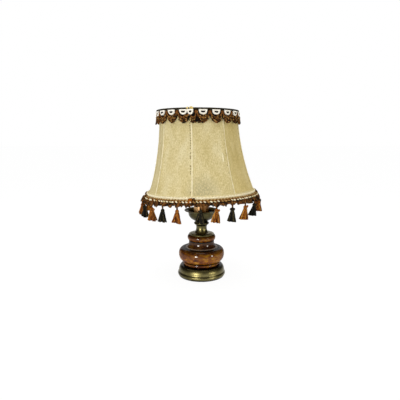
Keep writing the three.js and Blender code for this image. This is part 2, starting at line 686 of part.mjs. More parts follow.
// Woven braid round the bottom ring. The loops under it stand out: one at each tassel and one between.
function makeBottomBraid() {
  const gap = SEAM_GAP / SHADE_BOTTOM_R;
  const joint = (tasselAngle(TASSELS - 1) + TASSEL_FIRST) / 2 - Math.PI;
  const columns = [{ angle: joint + gap, low: fringeTip }];
  for (let n = 0; n < TASSELS; n++) {
    const here = tasselAngle(n);
    const before = columns[columns.length - 1].angle;
    const after = n + 1 < TASSELS ? (here + tasselAngle(n + 1)) / 2 : joint + 2 * Math.PI;
    columns.push({ angle: (before + here) / 2, low: fringeFoot });
    columns.push({ angle: here, low: fringeTip });
    columns.push({ angle: (here + after) / 2, low: fringeFoot });
    columns.push({ angle: after, low: fringeTip });
  }
  const rows = [
    { z: (column) => column.low, inner: LOOP_OUT, outer: LOOP_OUT + FRINGE_EDGE_T },
    { z: () => FRINGE_TOP / 2, inner: 0, outer: FRINGE_T },
    { z: () => FRINGE_TOP, inner: 0, outer: FRINGE_EDGE_T },
  ];
  const face = (side) => (i, j) => {
    const column = columns[i];
    return onShade(column.angle, rows[j].z(column), FABRIC_T + SEWN + rows[j][side]);
  };
  return sheet(columns.length - 1, rows.length - 1, face('outer'), face('inner'));
}

// Tassel, hanging from the middle of its cord's round end.
function makeTassel() {
  const knotZ = -TASSEL_CORD;
  const neckZ = knotZ - TASSEL_KNOT;
  const endZ = neckZ - TASSEL_SKIRT;
  const outline = [
    point(0, endZ),
    point(TASSEL_SKIRT_R - TASSEL_CORD_R, endZ),
    point(TASSEL_SKIRT_R, endZ + 2 * TASSEL_CORD_R),
    point(TASSEL_NECK_R, neckZ),
    point(TASSEL_KNOT_R, neckZ + TASSEL_KNOT / 2),
    point(TASSEL_CORD_R, knotZ),
    point(TASSEL_CORD_R, 0),
    point(0, TASSEL_CORD_R),
  ];
  return turned(outline, TASSEL_SIDES);
}

add(shade, 'shade_frame', makeFrame(), steel);
add(shade, 'carrier_ring', flatRing(carrierBore, carrierR, CARRIER_T, SMALL), steel, -CARRIER_T / 2);
for (let n = 0; n < ARM_COUNT; n++) {
  add(shade, `carrier_arm_${n + 1}`, makeArm(n), steel);
}
for (let n = 0; n < GORES; n++) {
  add(shade, `gore_${n + 1}`, makeGore(n), fabric);
}
add(shade, 'top_binding', makeBinding(), cream);
add(shade, 'top_braid', makeTopBraid(), brown);
add(shade, 'top_edging', makeEdging(), olive);
add(shade, 'bottom_braid', makeBottomBraid(), tan);

// Tassels hang plumb from the tips of the fringe's loops
const tassel = makeTassel();
const loopLift = FABRIC_T + SEWN + LOOP_OUT + FRINGE_EDGE_T / 2;
for (let n = 0; n < TASSELS; n++) {
  const angle = tasselAngle(n);
  const hook = onShade(angle, fringeTip, loopLift).applyQuaternion(shade.quaternion);
  const name = `tassel_${String(n + 1).padStart(2, '0')}`;
  const mesh = add(lamp, name, tassel, n % 2 === 0 ? black : orange);
  mesh.position.set(hook.x, hook.y, carrierZ + hook.z - TASSEL_CORD_R - FIT);
  mesh.rotation.z = angle;
}

export default lamp;
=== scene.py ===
"""The looks of the table lamp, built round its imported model: turned base, bell shade, trims and tassels.

Metres, +Z up, with the lamp's front facing -Y. Angles round the shade run from the front towards +X.
"""
import json
import math
import random

import bmesh
import bpy
from mathutils import Matrix, Vector, noise


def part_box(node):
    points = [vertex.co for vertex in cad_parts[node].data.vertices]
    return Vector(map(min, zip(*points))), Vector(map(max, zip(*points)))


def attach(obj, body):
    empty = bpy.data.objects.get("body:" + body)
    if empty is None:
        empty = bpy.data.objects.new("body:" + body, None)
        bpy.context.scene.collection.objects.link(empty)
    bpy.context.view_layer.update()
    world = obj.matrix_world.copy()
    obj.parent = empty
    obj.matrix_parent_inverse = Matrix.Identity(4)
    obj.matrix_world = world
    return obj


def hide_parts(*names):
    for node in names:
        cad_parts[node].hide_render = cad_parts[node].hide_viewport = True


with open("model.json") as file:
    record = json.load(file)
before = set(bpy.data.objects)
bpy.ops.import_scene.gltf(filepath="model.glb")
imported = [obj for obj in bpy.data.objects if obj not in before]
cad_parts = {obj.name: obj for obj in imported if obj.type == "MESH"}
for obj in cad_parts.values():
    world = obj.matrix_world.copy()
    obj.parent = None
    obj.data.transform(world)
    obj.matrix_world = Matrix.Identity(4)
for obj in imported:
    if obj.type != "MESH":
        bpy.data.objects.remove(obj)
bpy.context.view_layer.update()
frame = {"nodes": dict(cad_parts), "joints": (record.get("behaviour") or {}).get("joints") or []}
random.seed(24)
joints = {joint["name"]: joint for joint in frame["joints"]}
UP = Vector((0, 0, 1))
FRONT = Vector((0, -1, 0))
TURN = 2 * math.pi
CREASE = math.radians(40)

# Camera, fitted to the photograph: where it stands, what it looks at, and where that point falls
IMAGE_SIDE = 400
CAMERA_AT = Vector((0, -1.05, 0.382))
CAMERA_AIM = Vector((0, 0, 0.22))
AIM_PIXEL = (201.5, 195.1)
FOCAL_PIXELS = 396.7
SENSOR = 36.0

# Studio
WHITE = (1, 1, 1, 1)
AMBIENT = 0.56  # the world's light on things, and 1 is how bright it looks
FLOOR_GREY = (0.9, 0.9, 0.9, 1)
FLOOR_REACH = 12.0
FLOOR_WHITE = 0.88  # share of the floor's look that is plain white, and the rest takes the shadow
FLOOR_GLOW = 1.06
CARD_AWAY = 2.4
CARD_LOW = 0.02
CARD_HIGH = 2.6
CARD_ROUND = 150  # degrees to each side of the front
CARD_PANELS = 48

# Base, from the table up: radii and heights within each piece
FOOT_R = 0.0646
FOOT_WALL = 0.002
FOOT_BAND_H = 0.0105
FOOT_BAND_ROUND = 0.002
FOOT_STEP_IN = 0.0026
FOOT_STEP_UP = 0.0016
FOOT_DOME_RISE = 0.009
FOOT_DOME_RUN = 0.006
FOOT_TOP_R = 0.052
STEM_BORE = 0.0053
FELT_R = 0.0616
BEAD_R = 0.05
BEAD_H = 0.0105
BEAD_ROUND = 0.0025
BULGE_R = 0.0615
BULGE_UP = 0.0195
SHOULDER_R = 0.0465
SHOULDER_UP = 0.0168
SHOULDER_GROOVE = 0.0022
SHOULDER_FILLET = 0.0026
COVE_R = 0.0365
COVE_SHARE = 0.4
COLLAR_R = 0.034
RING_R = 0.0378
RING_UP = 0.0095
RING_SEAT_R = 0.031
SKIRT_R = 0.0336
SKIRT_EDGE = 0.0016
SKIRT_H = 0.0046
TRUMPET_R = 0.02
WAIST_R = 0.0142
WAIST_UP = 0.019
NECK_BEAD_R = 0.0203
NECK_BEAD_H = 0.0095
NECK_TOP_R = 0.0156
BOWL_R = 0.0352
BOWL_WALL = 0.0018
BOWL_FLOOR = 0.0025
BOWL_FOOT_UP = 0.003
BOWL_BELLY_UP = 0.006
LIP_OUT = 0.0104
LIP_RISE = 0.008
BASE_SPAN = 0.25  # the height that tones by height run over

# Lamp holder and bulb
HOLDER_R = 0.0208
HOLDER_FOOT_R = 0.01
HOLDER_DOME = 0.014
HOLDER_WALL = 0.003
SOCKET_R = 0.0176
BULB_BORE_R = 0.0145
THREAD_R = 0.0194
THREAD_PITCH = 0.003
SHELL_SKIRT_H = 0.02
FLANGE_R = 0.027
FLANGE_T = 0.003
CONTACT_R = 0.0045
CONTACT_H = 0.004
BULB_CAP_R = 0.0131
BULB_RIM = 0.002
BULB_PITCH = 0.0036
BULB_NECK_R = 0.0134
BULB_R = 0.03
QUARTER = 0.5523  # reach of a quarter circle's control points, as a share of its radius
CLAMP_GRIPS = 18
CLAMP_GRIP_DEPTH = 0.0009
CLAMP_SOFT = 0.0008
BUSH_BORE_R = 0.0034
BUSH_R = 0.0044
BUSH_FLANGE_R = 0.0062
BUSH_FLANGE_T = 0.002
BUSH_SOFT = 0.0006

# Shade: heights count from the middle of the bottom ring
LEAN = math.radians(2.1)
LEAN_TOWARDS = math.radians(146)
SHADE_RISE = 0.011
SHADE_ASIDE = -0.0012
TOP_ASIDE = -0.0018
TOP_TILT = math.radians(1.9)
SHADE_H = 0.215
SHADE_TOP_R = 0.1015
SHADE_BOTTOM_R = 0.1412
SHADE_BELL = 1.95
GORES = 8
GORE_ARC = TURN / GORES
GORE_FLATNESS = 0.85
GORE_CUT = 0.12  # cloth set aside for each gore, across, in texture places
SEAM_ANGLE = math.radians(-8.5)
SEAM_GAP = 0.0004
FABRIC_T = 0.001
CLOTH_T = 0.8 * FABRIC_T
GREY_PATCH_AT = (0.004, -0.134, 0.25)
SEWN = 0.0006
HAIR = 0.0003
FRAME_GAP = 0.0006
FRAME_RING_R = 0.00175
RIB_R = 0.0014
CARRIER_BORE_R = 0.0204
CARRIER_R = 0.027
CARRIER_HALF = 0.001
CARRIER_SOFT = 0.0004
ARMS = 4
ARM_R = 0.0016
ARM_GAP = 0.0002
TAPE_HALF = 0.0016
TAPE_HALF_RIGHT = 0.0009  # on the right seam at the front
TAPE_PROUD = 0.0002
STITCHES = 36
STITCH_ASIDE = 0.0036

# The fold by the right seam of the front gore
FOLD_ACROSS = 0.86
FOLD_Z = 0.099
FOLD_HALF = 0.0125
FOLD_DEEP = 0.0022
FOLD_WIDE = 0.022
FOLD_TALL = 0.012
FOLD_R = (0.0004, 0.002)  # at its ends, and more in its middle

# Trim of the top
EDGING_R = 0.002
STRANDS = 3
STRAND_R = 0.00115
STRAND_OFF = 0.00105
STRAND_PITCH = 0.009
WRAP_PITCH = 0.0022
WRAP_R = 0.001
WRAP_PROUD = 0.0006
WRAP_UP = 0.0009
WRAPS = ((-3.2, 0.7), (-2.2, 0.85), (0.2, 1.0), (1.2, 1.15), (2.2, 1.0), (3.2, 0.7))  # place and size
TAPE_T = 0.0007
SCALLOPS = 20
SCALLOP_PITCH = math.radians(17.6)
BRAID_JOINT = math.radians(-9.6)
BRAID_H = 0.0155
SCALLOP_DROP = 0.0155
LOBE_ROUND = (1.3, 1.65)  # 1 is a sharp point and 2 a round lobe
LOBE_FLARE = (0.0005, 0.003)
GROUND_T = 0.0008
GROUND_UP = 0.0016
RIM_UP = 0.002
RIM_REACH = 0.7
LOOSE_SCALLOP = 16
LOOSE_FLARE = 0.0045
MOON_W = 0.0075
MOON_TOP = 0.0018
MOON_DEEP = 0.008
MOON_CORD = 0.0026
MOON_BAR = 0.0021
MOON_BAR_PAST = 0.0022
MOON_HOLE = (-0.0042, -0.002, 0.0, 0.002, 0.0042)
MOON_HOLE_R = 0.0021
MOON_HOLE_PROUD = 0.0004
MOON_MIDDLE = 0.0056
MOON_FRONT = 0.0026
SHORT_CUT = 0.62  # the half moon at the joint: its share of a full one, and where it lies
SHORT_ASIDE = -0.82
SHORT_FRONT = 0.0042
KNOT_LOW = 0.0126
KNOTS = 46
KNOT_REACH = 0.84
LINK_W = 0.0028
LINK_H = 0.0026
LINK_R = 0.0012

# Trim of the bottom
FRINGE_JOINT = math.radians(-8)
FRINGE_TOP = 0.012
FRINGE_FOOT = 0.0025
FRINGE_T = 0.0008
FRINGE_PROUD = 0.0012
FRINGE_PERIODS = 112
EDGE_Z = 0.0064
EDGE_R = 0.0026
BAR_Z = 0.0036
BAR_HALF = 0.0012
BAR_SLANT = 0.0012
BAR_PROUD = 0.0016
DOT_HALF = 0.0025
DOT_PROUD = 0.0022
DOTS_MISSING = 0.02
LOOP_DROP = 0.0065
LOOP_LOBE = 0.0035
LOOP_OUT = 0.0072
LOOP_R = 0.0015
LOOP_LONG = 0.004
LOOP_PITCH = math.radians(1.0)
CURLS = 28
HOOK_YARN_R = 0.0013
HOOK_YARN_ASIDE = 0.0011
BINDINGS = 7
BINDING_PITCH = 0.0022
BINDING_R = 0.0014
BINDING_PROUD = 0.0026
BINDING_TOP = 0.0066
BINDING_LOW = -0.0026
ORANGE_BINDINGS = 4

# Tassels
TASSELS = 24
TASSEL_PITCH = math.radians(14.8)
TASSEL_FIRST = math.radians(-0.5)
TASSEL_GAP = math.radians(14)
TASSEL_CORD = 0.0045
TASSEL_CORD_R = 0.0012
TASSEL_KNOT = 0.006
TASSEL_KNOT_R = 0.0044
TASSEL_WRAP_R = 0.0036
TASSEL_WRAP_UP = 0.0022
TASSEL_WRAP_PITCH = 0.0013
TASSEL_WRAP_YARN = 0.0009
TASSEL_EAR_R = 0.0014
TASSEL_TWIST = 30
TASSEL_RIDGES = 16
TASSEL_RIDGE = 0.00035
TASSEL_NECK_R = 0.0034
TASSEL_SKIRT = 0.025
TASSEL_SKIRT_R = 0.0114
TASSEL_STRANDS = 76
GOLDEN_TURN = 2.399963
# Single tassels: sides with a loose end; number of locks; length, lean sideways and inwards, and width
EARS = {0: (), 1: (1,), 2: (-1, 1), 3: (1,), 4: (), 22: (), 23: ()}
LOCKS = {23: 2}
FORMS = {
    0: (1.0, -0.02, 0.0, 1.0), 2: (1.1, -0.06, 0.0, 1.0), 3: (1.1, -0.14, 0.04, 1.0),
    4: (1.0, -0.1, 0.16, 1.0), 5: (0.78, 0.0, 0.06, 1.1), 6: (0.85, 0.0, 0.2, 0.9),
    8: (0.7, 0.0, 0.0, 1.0), 16: (0.68, 0.0, 0.0, 1.0),
    18: (1.05, 0.0, -0.2, 0.9), 19: (0.78, 0.0, -0.08, 0.9), 20: (0.84, 0.0, 0.0, 1.0),
    21: (1.0, 0.08, 0.04, 1.2), 22: (0.97, -0.04, 0.0, 1.0)}


def low_of(node):
    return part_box(node)[0].z


def high_of(node):
    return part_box(node)[1].z


def heights(node):
    return low_of(node), high_of(node)


def all_round(steps):
    """Angles all the way round, evenly spaced."""
    return [TURN * k / steps for k in range(steps)]


def circle(steps):
    """Cosine and sine of angles all the way round."""
    return [(math.cos(a), math.sin(a)) for a in all_round(steps)]


# Materials

def colour(code):
    """A colour written as sRGB hex, as the linear RGBA that shaders take."""
    channels = [int(code[i:i + 2], 16) / 255 for i in (1, 3, 5)]
    return tuple(((c + 0.055) / 1.055) ** 2.4 if c > 0.04045 else c / 12.92 for c in channels) + (1.0,)


class Paint:
    """A material whose nodes are added and linked by short calls."""

    def __init__(self, name, **sockets):
        self.material = bpy.data.materials.new(name)
        self.material.use_nodes = True
        self.tree = self.material.node_tree
        self.shader = self.tree.nodes["Principled BSDF"]
        for key, value in sockets.items():
            self.shader.inputs[key.replace("_", " ").title().replace("Ior", "IOR")].default_value = value

    def add(self, kind, inputs, output=0, **settings):
        """Adds a node; its inputs are sockets to link or plain values. Returns one of its outputs."""
        node = self.tree.nodes.new(kind)
        for key, value in settings.items():
            setattr(node, key, value)
        for key, value in inputs.items():
            if isinstance(value, bpy.types.NodeSocket):
                self.tree.links.new(value, node.inputs[key])
            else:
                node.inputs[key].default_value = value
        return node.outputs[output]

    def place(self, kind="Object", scale=(1, 1, 1), turn=(0, 0, 0)):
        """Texture coordinates, scaled and turned."""
        coordinates = self.add("ShaderNodeTexCoord", {}, kind)
        return self.add("ShaderNodeMapping", {"Vector": coordinates, "Scale": scale, "Rotation": turn})

    def noise(self, where, scale, detail, roughness=0.55, distortion=0.0):
        return self.add("ShaderNodeTexNoise", {
            "Vector": where, "Scale": scale, "Detail": detail,
            "Roughness": roughness, "Distortion": distortion})

    def wave(self, where, direction, scale, distortion, detail_scale=1.0):
        return self.add("ShaderNodeTexWave", {
            "Vector": where, "Scale": scale, "Distortion": distortion,
            "Detail": 2.0, "Detail Scale": detail_scale}, 1, bands_direction=direction)

    def math(self, operation, a, b):
        return self.add("ShaderNodeMath", {0: a, 1: b}, operation=operation)

    def ramp(self, factor, *stops):
        """A colour ramp; each stop is a place from 0 to 1 and a colour."""
        node = self.tree.nodes.new("ShaderNodeValToRGB")
        self.tree.links.new(factor, node.inputs[0])
        elements = node.color_ramp.elements
        while len(elements) < len(stops):
            elements.new(1.0)
        for element, (position, code) in zip(elements, stops):
            element.position = position
            element.color = colour(code)
        return node.outputs[0]

    def span(self, factor, low, high, to_low=0.0, to_high=1.0):
        """Stretches a factor's values from low..high to to_low..to_high, kept within them."""
        return self.add("ShaderNodeMapRange", {
            "Value": factor, "From Min": low, "From Max": high, "To Min": to_low, "To Max": to_high})

    def mix(self, factor, a, b, blend_type="MIX"):
        return self.add("ShaderNodeMix", {0: factor, 6: a, 7: b}, 2, data_type="RGBA", blend_type=blend_type)

    def tinted(self, base, tint):
        return self.mix(1.0, base, tint, "MULTIPLY")

    def by_height(self, stops):
        """Tones by height on the lamp, here painted shade and highlights: each stop is a height in metres and
        a colour.
        """
        place = self.add("ShaderNodeTexCoord", {}, "Object")
        height = self.add("ShaderNodeSeparateXYZ", {"Vector": place}, 2)
        share = self.math("DIVIDE", height, BASE_SPAN)
        return self.ramp(share, *[(z / BASE_SPAN, code) for z, code in stops])

    def bump(self, height, distance, strength):
        return self.add("ShaderNodeBump", {"Height": height, "Distance": distance, "Strength": strength})

    def finish(self, base, roughness, normal=None):
        """Links what varies over the surface to the shader."""
        for key, value in (("Base Color", base), ("Roughness", roughness), ("Normal", normal)):
            if value:
                self.tree.links.new(value, self.shader.inputs[key])
        return self.material


def band(plain, tone, z, half):
    """Colour stops of one narrow band round the lamp, half its width to each side."""
    return [(z - half, plain), (z - half / 2, tone), (z + half / 2, tone), (z + half, plain)]


def painted_shade_bands(tone, *bands):
    """Colour stops of painted shade in narrow bands: each has a height and half its width, in metres."""
    stops = [(0.0, "#ffffff")]
    for z, half in bands:
        stops += band("#ffffff", tone, z, half)
    return stops


def brass_paint():
    """Old brass: olive, blotched, with turning lines, and painted shade in its joints and crevices and by
    height.
    """
    paint = Paint("aged_brass", metallic=1.0, coat_weight=0.04, coat_roughness=0.15)
    where = paint.place()
    blotches = paint.noise(where, scale=45, detail=4)
    turning = paint.wave(where, "Z", scale=700, distortion=0.8)
    base = paint.ramp(blotches, (0.3, "#57502e"), (0.5, "#6f6741"), (0.7, "#857c52"))
    foot, neck, bowl = low_of("foot"), low_of("neck"), low_of("bowl")
    foot_step = foot + FOOT_BAND_H
    # Painted shade: dark bands at the foot's bottom and top, and at the neck's, bead's and bowl's joints.
    crevice_shade = painted_shade_bands(
        "#3a2f14", (foot, 0.002), (high_of("foot"), 0.0024),
        (neck, 0.001), (bowl - NECK_BEAD_H, 0.0014), (bowl, 0.0014))
    base = paint.tinted(base, paint.by_height(crevice_shade))
    # Painted shade by height: darker on the foot, the upper neck and most of all the bowl.
    height_shade = paint.by_height([
        (foot, "#d8d8d8"), (foot_step, "#d8d8d8"), (foot_step + 0.0008, "#d0d0d0"),
        (foot_step + 0.0022, "#f4f4f4"), (foot + 0.024, "#d8d8d8"), (neck, "#ffffff"),
        (neck + 0.012, "#cccccc"), (bowl - 0.012, "#c0c0c0"), (bowl + 0.004, "#909090"),
        (bowl + 0.03, "#a0a0a0")])
    base = paint.tinted(base, height_shade)
    roughness = paint.span(blotches, 0.3, 0.7, 0.42, 0.32)
    return paint.finish(base, roughness, paint.bump(turning, 0.00003, 0.4))


def wood_paint():
    """Lacquered wood: clouded orange-brown, a few darker streaks, painted shade by height and in grooves, a
    painted highlight on the fillet.
    """
    paint = Paint("lacquered_wood", coat_weight=0.18, coat_roughness=0.08, coat_ior=2.0,
                  roughness=0.5, specular_ior_level=0.05)
    along = paint.place(scale=(1, 1, 4.2), turn=(0.16, 0.1, 0))
    streaks = paint.noise(along, scale=42, detail=5, roughness=0.62, distortion=0.9)
    clouds = paint.noise(paint.place(), scale=46, detail=4, distortion=1.2)
    pores = paint.noise(paint.place(scale=(1, 1, 6)), scale=190, detail=2)
    figure = paint.mix(0.42, streaks, clouds)
    base = paint.ramp(figure, (0.34, "#2e0d00"), (0.44, "#6c3202"), (0.53, "#985a06"), (0.66, "#c8901c"))
    base = paint.mix(paint.span(pores, 0.58, 0.72, 0.0, 0.35), base, colour("#220b00"))
    body, ring = low_of("wood_body"), low_of("wood_ring")
    groove = body + BEAD_H
    shoulder = groove + BULGE_UP + SHOULDER_UP
    # Painted shade by height: darker at the bead, the shoulder and the ring's top, lightest low on the bulge.
    tones = paint.by_height([
        (body, "#d8d8d8"), (groove, "#e0e0e0"), (groove + 0.008, "#ffffff"),
        (groove + BULGE_UP * 0.6, "#ffffff"), (shoulder - 0.008, "#c4c4c4"), (shoulder - 0.003, "#808080"),
        (ring, "#8c8c8c"), (ring + 0.004, "#d8d8d8"), (ring + 0.008, "#d8d8d8"), (ring + 0.013, "#909090")])
    base = paint.tinted(base, tones)
    # Painted shade: black bands in the grooves and joints.
    crevice_shade = painted_shade_bands("#060301", (body + 0.0006, 0.0026), (groove, 0.0034), (ring - 0.0004, 0.0022),
                      (high_of("wood_ring"), 0.0012))
    base = paint.tinted(base, paint.by_height(crevice_shade))
    # Painted shade: a black line in the groove round the shoulder, found by radius and height.
    place = paint.add("ShaderNodeTexCoord", {}, "Object")
    flat = paint.add("ShaderNodeVectorMath", {0: place, 1: (1, 1, 0)}, operation="MULTIPLY")
    radius = paint.add("ShaderNodeVectorMath", {0: flat}, 1, operation="LENGTH")
    near = paint.span(radius, SHOULDER_R + 0.0058, SHOULDER_R + 0.0046)
    groove_shade = paint.by_height([
        (0.0, "#000000"), (shoulder - 0.004, "#000000"), (shoulder - 0.0036, "#ffffff"),
        (shoulder + 0.0002, "#ffffff"), (shoulder + 0.0006, "#000000")])
    base = paint.mix(paint.math("MULTIPLY", near, groove_shade), base, colour("#040200"))
    # Painted highlight: a pale line along the shoulder's fillet.
    edge = band("#000000", "#b4b4b4", shoulder + SHOULDER_FILLET / 2, 0.0009)
    fillet_highlight = paint.by_height([(0.0, "#000000")] + edge)
    base = paint.mix(fillet_highlight, base, colour("#c8b8a6"))
    return paint.finish(base, None, paint.bump(pores, 0.00004, 0.15))


def plain_paint(name, dark, light, scale, roughness, grain=0.0001, **sockets):
    """A moulded, cast or plated surface: two near tones, in soft patches, with a fine grain."""
    paint = Paint(name, **sockets)
    where = paint.place()
    patches = paint.noise(where, scale, detail=5)
    fine = paint.noise(where, scale * 14, detail=2)
    base = paint.ramp(patches, (0.3, dark), (0.7, light))
    gloss = paint.span(patches, 0.3, 0.7, roughness * 1.2, roughness * 0.85)
    return paint.finish(base, gloss, paint.bump(fine, grain, 0.5))


def copper_paint():
    """Copper-toned brass of the lamp holder, with painted light over its left half and brown painted shade
    over its right.
    """
    paint = Paint("holder_copper", metallic=0.25, specular_ior_level=0.3)
    where = paint.place()
    patches = paint.noise(where, scale=120, detail=3)
    # Painted light and shade: bright on the left half, where light falls, and brown on the right half, in
    # shade.
    across = paint.add("ShaderNodeSeparateXYZ", {"Vector": where}, 0)
    light_split_x = paint.math("ADD", across, paint.math("MULTIPLY", patches, 0.006))
    share = paint.span(light_split_x, -HOLDER_R, HOLDER_R)
    lit_half = ((0.02, "#d09a5c"), (0.1, "#ffd094"), (0.5, "#ffc888"))
    base = paint.ramp(share, *lit_half, (0.6, "#8a5606"), (0.95, "#704600"))
    base = paint.mix(paint.span(patches, 0.5, 0.75, 0.0, 0.3), base, colour("#a07a3a"))
    return paint.finish(base, paint.span(patches, 0.3, 0.7, 0.28, 0.4))


def fabric_paint():
    """Cream slub weave: flecked threads, softly clouded, tinted as painted shade on one gore, and greyer low
    in front.
    """
    paint = Paint("slub_fabric", roughness=0.92, specular_ior_level=0.1,
                  sheen_weight=0.06, sheen_roughness=0.4)
    threads = paint.place("UV")
    warp = paint.wave(threads, "X", scale=230, distortion=1.2, detail_scale=3)
    weft = paint.wave(threads, "Y", scale=260, distortion=1.6, detail_scale=3)

    def woven(across, along, detail, roughness=0.5):
        return paint.noise(paint.place("UV", (across, along, 1)), 1, detail, roughness)

    slubs = woven(330, 70, 4, 0.6)
    cross = woven(90, 420, 2)
    flecks = woven(430, 210, 2)
    age = woven(26, 13, 3)
    base = paint.ramp(age, (0.3, "#c6b47a"), (0.5, "#d3c38f"), (0.7, "#dfd3a8"))
    for grain, low, high, to_low, to_high, code in (
            (slubs, 0.5, 0.72, 0.0, 0.45, "#ece0b0"), (slubs, 0.3, 0.48, 0.36, 0.0, "#b09d66"),
            (cross, 0.54, 0.75, 0.0, 0.3, "#b8a676"), (flecks, 0.5, 0.66, 0.0, 0.42, "#efe4b8"),
            (flecks, 0.34, 0.5, 0.4, 0.0, "#ac9a64")):
        base = paint.mix(paint.span(grain, low, high, to_low, to_high), base, colour(code))
    # Painted shade: the gore on the right is tinted warmer.
    across = paint.add("ShaderNodeSeparateXYZ", {"Vector": threads}, 0)
    gore = paint.math("DIVIDE", across, GORE_CUT * GORES)
    edge, past = 1 / GORES, 2 / GORES
    tint = paint.ramp(gore, (0.0, "#ffffff"), (edge - 0.002, "#ffffff"), (edge - 0.001, "#fff9e4"),
                      (past - 0.002, "#fff9e4"), (past - 0.001, "#ffffff"))
    base = paint.tinted(base, tint)
    # A greyer patch low in front, softened with the flecks.
    place = paint.add("ShaderNodeTexCoord", {}, "Object")
    away = paint.add("ShaderNodeVectorMath", {0: place, 1: GREY_PATCH_AT}, 1, operation="DISTANCE")
    near = paint.span(away, 0.012, 0.048, 0.95, 0.0)
    grey_patch = paint.math("MULTIPLY", near, paint.span(flecks, 0.35, 0.65, 1.0, 0.25))
    base = paint.mix(grey_patch, base, colour("#ada480"))
    weave = paint.math("MAXIMUM", warp, weft)
    relief = paint.math("ADD", paint.math("MULTIPLY", weave, 0.35), paint.math("ADD", slubs, flecks))
    return paint.finish(base, None, paint.bump(relief, 0.0004, 0.5))


def yarn_paint(name, dark, middle, light, scale=420, roughness=0.85):
    """Yarn or cord: tones that change from strand to strand, with its fibres as relief."""
    paint = Paint(name, roughness=roughness, specular_ior_level=0.1)
    where = paint.place()
    tones = paint.noise(where, scale, detail=3, roughness=0.6)
    fibres = paint.noise(where, scale * 6, detail=2, roughness=0.6)
    base = paint.ramp(tones, (0.3, dark), (0.5, middle), (0.72, light))
    base = paint.mix(paint.span(fibres, 0.35, 0.5, 0.45, 0.0), base, colour(dark))
    return paint.finish(base, None, paint.bump(fibres, 0.0004, 0.6))


BRASS = brass_paint()
WOOD = wood_paint()
STEEL = plain_paint("plated_steel", "#83837f", "#b1b1ac", 90, 0.35, metallic=1.0)
NICKEL = plain_paint("bulb_nickel", "#9a9892", "#c2c0b9", 120, 0.25, metallic=1.0)
IRON = plain_paint("cast_iron", "#2b2a28", "#474541", 130, 0.75, 0.0004, metallic=0.6)
FELT = plain_paint("pressed_felt", "#24251d", "#3b3c31", 300, 0.95, 0.0004, sheen_weight=0.4)
BAKELITE = plain_paint("brown_bakelite", "#4a2c0c", "#6b431a", 70, 0.3, 0.00004, specular_ior_level=0.4)
COPPER = copper_paint()
PORCELAIN = plain_paint("porcelain", "#e6e1d4", "#f4f1e8", 60, 0.2, 0.00003, coat_weight=0.5)
OPAL = plain_paint("opal_glass", "#eee9dc", "#f8f5ec", 40, 0.22, 0.00002,
                   coat_weight=0.6, coat_roughness=0.05)
FABRIC = fabric_paint()
CREAM = yarn_paint("cream_yarn", "#efe6cf", "#fdf8ec", "#ffffff", 500)
EDGE_CREAM = yarn_paint("fringe_cream", "#d8c492", "#f8eecb", "#fff9e4")
GROUND_CREAM = yarn_paint("fringe_ground", "#c6b480", "#dccd9a", "#eadfb4")
SEAM = yarn_paint("seam_tape", "#dccd9c", "#f2e8c0", "#fcf5dc", 260)
STITCH = yarn_paint("seam_thread", "#3c2c0a", "#66531f", "#8a7640")
THREAD = yarn_paint("pale_thread", "#d2b660", "#ecd68c", "#f6e7b4", 500)
CHENILLE = yarn_paint("brown_chenille", "#120400", "#46260a", "#9c6c2e", 520)
GIMP = yarn_paint("brown_gimp", "#3a1c04", "#7c4a1a", "#b08248")
GIMP_PALE = yarn_paint("brown_gimp_pale", "#6e4a18", "#b08444", "#d8b880")
SHADOW_YARN = yarn_paint("dark_yarn", "#030100", "#0e0600", "#241204")
OLIVE = yarn_paint("olive_cord", "#0e0b03", "#2a2410", "#4c4228")
ORANGE = yarn_paint("orange_yarn", "#5a2600", "#97540f", "#bd7c2e", 300, 0.7)
ORANGE_DARK = yarn_paint("orange_yarn_dark", "#2e1000", "#642f04", "#8a4a0c", 300, 0.7)
ORANGE_PALE = yarn_paint("orange_yarn_pale", "#8a5010", "#c08430", "#dcae66", 300, 0.7)
BLACK = yarn_paint("black_yarn", "#040302", "#201c10", "#453d24", 300, 0.7)
BLACK_DEEP = yarn_paint("black_yarn_deep", "#020201", "#0b0a06", "#1c1a12", 300, 0.7)
BLACK_PALE = yarn_paint("black_yarn_pale", "#16120a", "#3c331a", "#6a5e3a", 300, 0.7)


# Meshes

